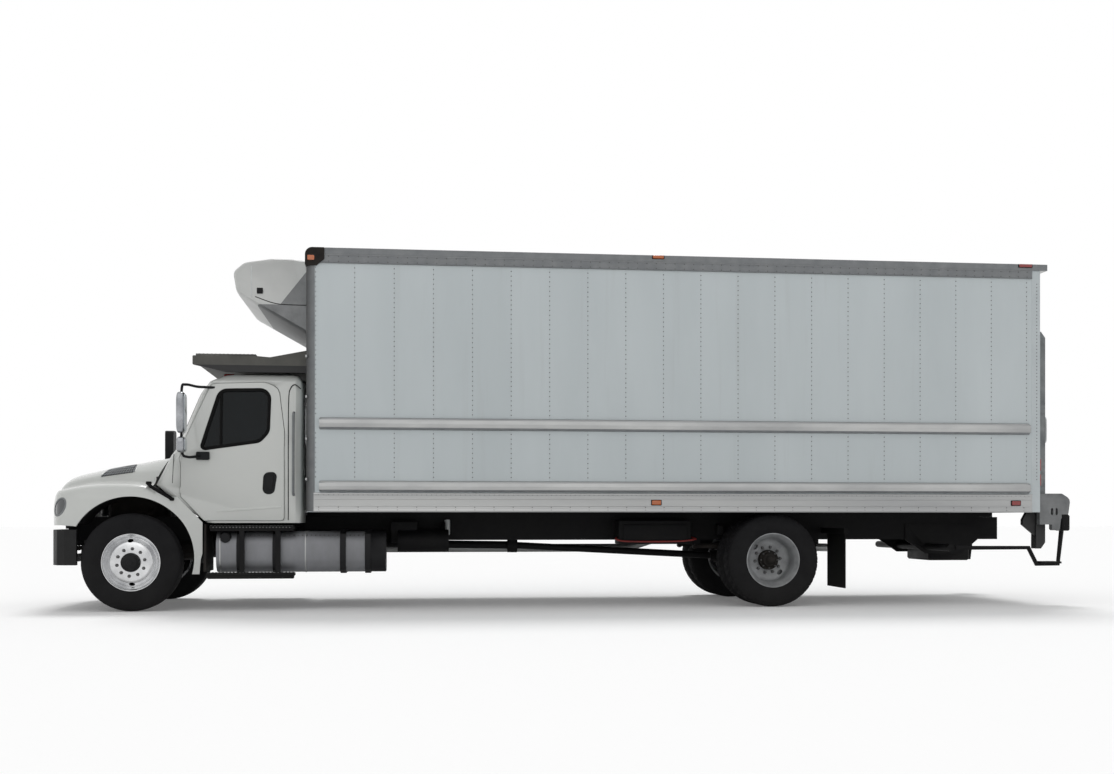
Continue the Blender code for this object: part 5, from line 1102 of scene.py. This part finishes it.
hoodFine = hoodRings(0.0, 24)
hoodHalf = hoodFine[:, hoodFine.shape[1] // 2:][:, ::-1]      # from the right foot up to the crown
hoodLevels = np.linspace(0.40, 1.66, 160)
hoodTable = np.stack([np.interp(hoodLevels, np.maximum.accumulate(ring[:, 2]), ring[:, 1])
                      for ring in hoodHalf])


def hoodReach(x, z):
    # how far out the hood's skin lies, read from the table between its rows and columns
    row = np.interp(x, hoodHalf[:, 0, 0], np.arange(len(hoodHalf)))
    column = np.interp(z, hoodLevels, np.arange(len(hoodLevels)))
    i = np.clip(row.astype(int), 0, len(hoodHalf) - 2)
    j = np.clip(column.astype(int), 0, len(hoodLevels) - 2)
    u, v = row - i, column - j
    return ((hoodTable[i, j] * (1 - u) + hoodTable[i + 1, j] * u) * (1 - v)
            + (hoodTable[i, j + 1] * (1 - u) + hoodTable[i + 1, j + 1] * u) * v)


def onHood(outline, side):
    x, z = np.asarray(outline, float).T
    slopeX, slopeZ = slopes(hoodReach, x, z, 0.012)
    return spots(x, side * hoodReach(x, z), z), unit(spots(-slopeX, side, -slopeZ))


def patch(outline, side, lift, sink=0.006, rings=6):
    # a thin plate that follows the hood: the outline drawn in to its middle, below the skin and above it
    middle = outline.mean(0)
    shares = np.linspace(0.05, 1, rings)
    rows = []
    for share, height in [(share, -sink) for share in shares] + [(share, lift) for share in shares[::-1]]:
        points, normals = onHood(middle + (outline - middle) * share, side)
        rows.append(points + normals * height)
    return np.stack(rows), skin(len(rows), len(outline))


def lampOval(inset=0.0, count=40):
    turn = np.linspace(0, math.tau, count, endpoint=False)
    tilt = math.radians(headlamp["tilt"])
    along, out = (headlamp["long"] - inset) * np.cos(turn), (headlamp["short"] - inset) * np.sin(turn)
    x, z = headlamp["centre"]
    return np.stack([x + along * math.cos(tilt) - out * math.sin(tilt),
                     z + along * math.sin(tilt) + out * math.cos(tilt)], -1)


def archArc(radius, angles):
    turn = np.radians(angles)
    return np.stack([radius * np.cos(turn), hood["archZ"] + radius * np.sin(turn)], -1)


grilleHole = rounded(hood["grille"], 6)
arch = np.concatenate([archArc(hood["archRadius"], np.linspace(-30, 210, 61)), [(-0.80, 0.20), (0.50, 0.10)]])
steps = [("DIFFERENCE", hoodSolid(hood["wall"])), ("DIFFERENCE", slab(grilleHole, "x", -1.0, -0.77))]
for sideName, side in sides:
    steps += [("DIFFERENCE", plate(lampOval(), side, *hood["depth"])),
              ("UNION", plate(hood["tail"], side, 1.102, 1.160))]
steps += [("DIFFERENCE", slab(hood["above"], "y", -1.30, 1.30)),
          ("DIFFERENCE", slab(hood["inside"], "y", -1.112, 1.112))]
for sideName, side in sides:
    steps += [("DIFFERENCE", plate(arch, side, 0.56, 1.30)),
              ("DIFFERENCE", slab(np.array(hood["taper"]) * (1, side), "z", 0.30, 1.50))]
carved("hood_skin", hoodSolid(0.0), steps, "whitePaint", 34, "hood", ["hood"])
for sideName, side in sides:
    carved(f"headlamp_lens_{sideName}", hoodSolid(0.003),
           [("DIFFERENCE", hoodSolid(0.024)), ("INTERSECT", plate(lampOval(0.003), side, *hood["depth"]))],
           "lampGlass", 40, "hood", [f"headlamp_{sideName}"])
    putMesh(f"headlamp_bezel_{sideName}", strip(*onHood(lampOval(0.0, 64), side), 0.016, 0.005, True),
            "sealantGrey", 50, "hood")
report("hood")

vent = dict(low=((-0.415, 1.400), (-0.035, 1.452)), high=((-0.340, 1.520), (-0.035, 1.552)), bars=13, rows=3)
latch = dict(strap=((0.165, 1.118, 1.335), (0.205, 1.158, 1.300), (0.300, 1.172, 1.243),
                    (0.385, 1.168, 1.193), (0.425, 1.160, 1.165)),
             ends=((0.150, 1.075, 1.318, 0.200, 1.150, 1.352), (0.395, 1.120, 1.150, 0.440, 1.178, 1.185)))
for sideName, side in sides:
    low, high = np.array(vent["low"]), np.array(vent["high"])
    corners = ((low[0], 0.012), (low[1], 0.022), (high[1], 0.022), (high[0], 0.030))
    outline = spread(rounded([(*place.tolist(), radius) for place, radius in corners], 6), 0.012)
    putMesh(f"hood_vent_{sideName}", patch(outline, side, 0.0015), "blackRubber", 60, "hood")
    bars = []
    for firsts, seconds, shares, run in ((low, high, np.linspace(0.04, 0.96, vent["bars"]), (0.04, 0.96, 7)),
                                         ((low[0], high[0]), (low[1], high[1]),
                                          np.linspace(0.25, 0.75, vent["rows"]), (0.02, 0.98, 20))):
        for share in shares:
            start, end = (pair[0] + (pair[1] - pair[0]) * share for pair in (firsts, seconds))
            line = start + (end - start) * np.linspace(*run)[:, None]
            bars.append(strip(*onHood(line, side), 0.005, 0.0055))
    putMesh(f"vent_bars_{sideName}", merged(bars), "rivetGrey", 60, "hood")
    putMesh(f"vent_rim_{sideName}", strip(*onHood(outline, side), 0.010, 0.005, True),
            "whitePaint", 60, "hood")
    # the rubber latch strap across the seam between the hood and the cowl
    strap = strip(smoothPath(mirrored(latch["strap"], side), 6), (0, side, 0.45), 0.034, 0.016, sink=0.012)
    ends = blocks(mirrored(latch["ends"], side), 0.010, 3)
    putMesh(f"hood_latch_{sideName}", merged([strap, ends]), "blackRubber", 50, "hood")
    # splash shield over the front wheel
    inner, outer = (archArc(radius, np.linspace(-6, 147, 52)) for radius in (0.650, 0.657))
    putMesh(f"splash_shield_{sideName}", plate(np.concatenate([inner, outer[::-1]]), side, 0.60, 1.100),
            "blackRubber", 40, "hood")

# the rubber seal across the hood's rear edge, and the grille's bright bars
edge = hoodFine[int(np.argmin(np.abs(hoodFine[:, 0, 0] - 0.300)))]
edge = edge[edge[:, 2] > 1.50] + (0.006, 0, 0.002)
putMesh("hood_rear_seal", tube(edge, 0.009), "blackRubber", 60, "hood")
bars = []
for row in range(7):
    reach = 0.50 - 0.030 * abs(row - 3)
    y = np.linspace(-reach + 0.03, reach - 0.03, 25)
    bar = spots(-0.843 - 0.012 * (1 - (y / reach) ** 2), y, 0.964 + row * 0.055)
    bars.append(strip(bar, (-1, 0, 0), 0.024, 0.014, sink=0.012))
putMesh("grille_bars", merged(bars), "castingWhite", 50, "hood")
putMesh("grille_surround", strip(spots(-0.8455, *grilleHole.T), (-1, 0, 0), 0.030, 0.012, True),
        "castingWhite", 50, "hood")
report("hood fittings")

tank = dict(seams=(0.90, 1.78), rivets=(1.165, 2.42, 0.045), cap=(0.955, -1.098, 0.765),
            middle=(-0.8025, 0.615),
            section=((-0.475, 0.40, 0.08), (-1.13, 0.40, 0.14), (-1.13, 0.83, 0.14), (-0.475, 0.83, 0.08)),
            capShape=((0.060, -0.030), (0.060, 0.010), (0.056, 0.016), (0.052, 0.016), (0.052, 0.034),
                      (0.048, 0.042), (0.020, 0.045), (0.0, 0.045)))
row = spots(np.arange(*tank["rivets"]), -1.093, 0.790)
putMesh("tank_rivets", domes(row, (0, -0.72, 0.69), 0.0065, 0.005, 7), "boltSteel", 60)
y, z = rounded(tank["section"], 8).T
outward = unit(spots(0, y - tank["middle"][0], z - tank["middle"][1]))
putMesh("tank_seams", merged([strip(spots(x, y, z), outward, 0.014, 0.004, True) for x in tank["seams"]]),
        "bareAluminium", 50)
putMesh("filler_cap", lathe(tank["capShape"], tank["cap"], -1, 40), "darkPlastic", 35)

# treads: height, distances out, places; channels under them: low and high corner
cabStep = dict(pitch=(0.036, 0.030), radius=0.011, height=0.004,
               treads=((0.400, 1.085, 1.180, 0.785, 1.660), (0.890, 0.915, 1.180, 0.815, 1.660)),
               shield=((0.735, 0.41), (0.762, 0.41), (0.762, 0.90), (0.745, 0.905)),
               channels=((0.778, 1.080, 0.336, 1.662, 1.182, 0.3675),
                         (0.806, 0.910, 0.834, 1.662, 1.182, 0.8575)))


def gripField(x, y, z):
    x, y = np.meshgrid(x, y)
    return spots(x.ravel(), y.ravel(), z)


for sideName, side in sides:
    pitchX, pitchY = cabStep["pitch"]
    grips = [gripField(np.arange(x0, x1, pitchX), side * np.arange(near, far, pitchY), z)
             for z, near, far, x0, x1 in cabStep["treads"]]
    putMesh(f"step_grip_{sideName}", domes(np.concatenate(grips), (0, 0, 1), cabStep["radius"],
                                           cabStep["height"]), "boltSteel", 60)
    # holes along the upper tread's outer edge
    holes = spots(np.arange(0.840, 1.650, 0.034), side * 1.1850, 0.873)
    putMesh(f"step_edge_{sideName}", domes(holes, (0, side, 0), 0.008, 0.003), "boltSteel", 60)
    # the grey shield that closes the gap between the fender and the steps
    putMesh(f"step_shield_{sideName}", plate(cabStep["shield"], side, 0.62, 1.150), "castIron", 40)
report("steps")

# Each cushion is a crowned pillow with sewn channels; along, across and up count in half sizes, so
# the sides draw in by 4 percent halfway between the corners and each channel is a narrow dip in the face.
# A part is (place, height), half sizes, tilt and channels; a frame bar is its low and high corner.
seat = dict(middle=0.50, depth=0.16, channel=0.035, parts=(
    ("cushion", (1.312, 1.325), (0.258, 0.236, 0.072), 0, (-0.34, 0.34)),
    ("back", (1.580, 1.665), (0.305, 0.232, 0.042), 82, (-0.34, 0.34)),
    ("head", (1.617, 2.060), (0.098, 0.126, 0.032), 88, ())), frame=(
    (1.11, 0.34, 1.0610, 1.53, 0.66, 1.270), (1.515, 0.300, 1.240, 1.572, 0.328, 1.600),
    (1.515, 0.672, 1.240, 1.572, 0.700, 1.600), (1.588, 0.552, 1.90, 1.604, 0.568, 2.00),
    (1.588, 0.432, 1.90, 1.604, 0.448, 2.00)))
trim = dict(outline=((0.82, 1.06, 0.04), (1.50, 1.06, 0.06), (1.50, 1.60, 0.05), (0.82, 1.60, 0.05)),
            pull=((1.05, 1.048, 1.44), (1.08, 1.020, 1.44), (1.26, 1.020, 1.44), (1.29, 1.048, 1.44)))


def cushion(place, half, tilt, channels, side):
    points, faces = pillow((0, 0, 0), (1, 1, 1), 0.40, 48, 112)
    along, across, up = points[..., 0], points[..., 1], points[..., 2]
    across = across * (0.96 + 0.04 * along ** 2)
    along = along * (0.97 + 0.03 * across ** 2)
    crown = 0.82 + 0.18 * np.clip(1 - (along ** 2 + across ** 2) / 2, 0, 1)
    dip = np.zeros_like(up)
    for channel in channels:
        dip = np.maximum(dip, np.exp(-((across - channel) / seat["channel"]) ** 2))
    up = up * crown - seat["depth"] * dip * np.clip(up, 0, 1)
    along, across, up = along * half[0], across * half[1], up * half[2]
    back = math.radians(tilt)
    return spots(place[0] + along * math.cos(back) - up * math.sin(back), side * seat["middle"] + across,
                 place[1] + along * math.sin(back) + up * math.cos(back)), faces


for sideName, side in sides:
    for partName, *part in seat["parts"]:
        pad = putMesh(f"seat_{partName}_{sideName}", cushion(*part, side), "seatCloth", 75,
                      nodes=[f"seat_{sideName}"])
    putMesh(f"seat_base_{sideName}", blocks(mirrored(seat["frame"], side), 0.006), "darkPlastic", 50)
    # the door's inner trim with its pull
    shapes = [plate(rounded(trim["outline"], 5), side, 1.0455, 1.0540),
              tube(smoothPath(mirrored(trim["pull"], side), 6), 0.011)]
    putMesh(f"door_trim_{sideName}", merged(shapes), "darkPlastic", 40, f"door_{sideName}")
report("seats")

# what hangs under the floor, each on the frame rail or on the floor's sill
under = dict(boxes=((5.19, -0.700, 0.680, 6.02, -0.425, 0.950), (5.24, -0.712, 0.720, 5.97, -0.695, 0.900),
                    (2.66, -0.640, 0.700, 2.96, -0.425, 0.940), (6.35, -0.560, 0.780, 6.43, -0.425, 0.900),
                    (6.30, 0.425, 0.700, 5.40, 0.640, 0.940), (3.20, 0.425, 0.720, 3.90, 0.620, 0.930)),
             canister=((0.0, -0.088), (0.026, -0.088), (0.031, -0.078), (0.031, 0.070), (0.026, 0.082),
                       (0.0, 0.083)),
             canisterAt=(3.29, -0.470, 0.872), sill=(1.745, 0.352, 0.984, 2.32, 0.430, 1.0365),
             line=((5.19, -0.600, 0.760), (5.16, -0.715, 0.735), (5.30, -0.722, 0.712), (5.85, -0.722, 0.712),
                   (6.06, -0.715, 0.735), (6.03, -0.600, 0.760)))


def bothSides(row):
    return [mirrored(row, side) for sideName, side in sides]


putMesh("underfloor_boxes", blocks(under["boxes"], 0.016, 4), "chassisBlack", 50)
putMesh("filter_canister", lathe(under["canister"], under["canisterAt"], 1, 28, False, "z"),
        "castingWhite", 35)
putMesh("red_line", tube(smoothPath(under["line"], 10), 0.010), "hosePaint", 60)
putMesh("body_sills", blocks(bothSides(under["sill"]), 0.004), "chassisBlack", 50)
for sideName, side in sides:
    putMesh(f"step_channel_{sideName}", blocks(mirrored(cabStep["channels"], side), 0.006), "chassisBlack", 50)

# catwalk, unit and rear end
unitTop = dict(side=0.9795, trim=1.205, seam=((1.245, 3.318), (1.42, 3.258), (1.55, 3.240), (1.785, 3.236)),
               slot=(1.100, 0.062, 3.437, 1.118, 0.618, 3.638),
               latch=(1.262, 0.975, 3.350, 1.325, 0.992, 3.412))
grips = gripField(np.arange(0.665, 1.235, 0.042), np.arange(-0.945, 0.950, 0.042), 2.708)
putMesh("catwalk_grip", domes(grips, (0, 0, 1), 0.013, 0.005, 6), "boltSteel", 60)
putMesh("unit_slot_liner", blocks(bothSides(unitTop["slot"]), 0.003), "blackRubber", 50)
seams = []
for sideName, side in sides:
    edge = spots(unitTop["trim"], side * unitTop["side"], np.linspace(3.315, 3.640, 14))
    putMesh(f"unit_trim_{sideName}", strip(edge, (0, side, 0), 0.012, 0.003), "castingWhite", 60)
    x, z = smoothPath(unitTop["seam"], 6).T
    seams.append(strip(spots(x, side * unitTop["side"], z), (0, side, 0), 0.009, 0.002))
putMesh("unit_seams", merged(seams), "blackRubber", 60)
putMesh("unit_latches", blocks(bothSides(unitTop["latch"]), 0.006, 3), "darkPlastic", 50)

rearDoor = dict(low=1.265, high=3.49, panels=8, hinges=(-1.10, -0.37, 0.37, 1.10),
                lamps=(-1.10, -0.22, 0.0, 0.22, 1.10))
pitch = (rearDoor["high"] - rearDoor["low"]) / rearDoor["panels"]
hinges = [(9.800, y - 0.030, rearDoor["low"] + pitch * number - 0.034,
           9.812, y + 0.030, rearDoor["low"] + pitch * number + 0.034)
          for number in range(1, rearDoor["panels"]) for y in rearDoor["hinges"]]
# the door's latch
hinges += [(9.800, -0.09, 1.300, 9.816, 0.09, 1.400), (9.812, -0.055, 1.335, 9.832, 0.055, 1.362)]
putMesh("rear_door_hardware", blocks(hinges), "rivetGrey", 40)
lamps = [(9.836, y - 0.045, 3.640, 9.858, y + 0.045, 3.680) for y in rearDoor["lamps"]]
lamps += [(9.836, side * 1.215, z, 9.862, side * 1.285, z + 0.13) for sideName, side in sides
          for z in (1.33, 1.50)]
putMesh("rear_lamps", blocks(lamps, 0.010, 4), "redLens", 50)
for sideName, side in sides:
    handle = smoothPath([(x, side * 1.165, z) for x, z in ((9.946, 1.820), (9.972, 1.835), (9.976, 1.960),
                                                           (9.972, 2.085), (9.946, 2.100))], 6)
    putMesh(f"gate_handle_{sideName}", tube(handle, 0.009), "castingWhite", 60)
    box = block((9.836, side * 1.100, 3.500), (9.880, side * 1.210, 3.600), 0.014, 4)
    putMesh(f"header_box_{sideName}", box, "dockGrey", 50)
report("fittings")

# lamps are (name, power, size, turn), sizes and turns in degrees
light = dict(sky=0.57, horizon=0.37, floorLift=0.11, floorHalf=150,
             lamps=(("top light", 1.24, 22, (-27, 5, 0)), ("fill light", 0.30, 60, (52, 0, -12))))


def seenDirectly(tree):
    # 1 for rays from the camera and for those that mirrors and glass pass on
    rays = tree.nodes.new("ShaderNodeLightPath").outputs
    seen = Value(tree, rays["Is Camera Ray"]).larger(Value(tree, rays["Is Glossy Ray"]))
    return seen.larger(Value(tree, rays["Is Transmission Ray"]))


half = light["floorHalf"]
floorMesh = bpy.data.meshes.new("floor")
corners = [(-half, -half, 0), (half, -half, 0), (half, half, 0), (-half, half, 0)]
floorMesh.from_pydata(corners, [], [(0, 1, 2, 3)])
floor = bpy.data.objects.new("floor", floorMesh)
collection.objects.link(floor)
ground = Finish("ground")
ground.feed("Base Color", ground.blend(ground.noise(0.8, 3.0) * 0.06, (0.95, 0.95, 0.95), (0.90, 0.90, 0.90)))
ground.feed("Roughness", 1.0)
ground.feed("Specular IOR Level", 0.0)
lift = ground.node("ShaderNodeEmission", values={"Strength": seenDirectly(ground.tree) * light["floorLift"]})
both = ground.node("ShaderNodeAddShader", values={0: ground.shader.outputs[0], 1: lift.outputs[0]})
ground.tree.links.new(both.outputs[0], ground.tree.nodes["Material Output"].inputs["Surface"])
floorMesh.materials.append(ground.material)

# the sky is white where it is seen, and lights the truck from above more than from its horizon
world = bpy.data.worlds.new("studio")
world.use_nodes = True
bpy.context.scene.world = world
tree = world.node_tree
seen = seenDirectly(tree)
heading = tree.nodes.new("ShaderNodeTexCoord").outputs["Generated"]
parts = tree.nodes.new("ShaderNodeSeparateXYZ")
tree.links.new(heading, parts.inputs[0])
strength = Value(tree, parts.outputs["Z"]).clamped() * (light["sky"] - light["horizon"]) + light["horizon"]
strength = strength * (1.0 - seen) + seen
tree.links.new(strength.socket, tree.nodes["Background"].inputs["Strength"])
tree.nodes["Background"].inputs["Color"].default_value = (1, 1, 1, 1)

for lampName, power, size, turn in light["lamps"]:
    lamp = bpy.data.lights.new(lampName, "SUN")
    lamp.energy = power
    lamp.angle = math.radians(size)
    lampObject = bpy.data.objects.new(lampName, lamp)
    lampObject.rotation_euler = [math.radians(part) for part in turn]
    collection.objects.link(lampObject)
report("floor and light")
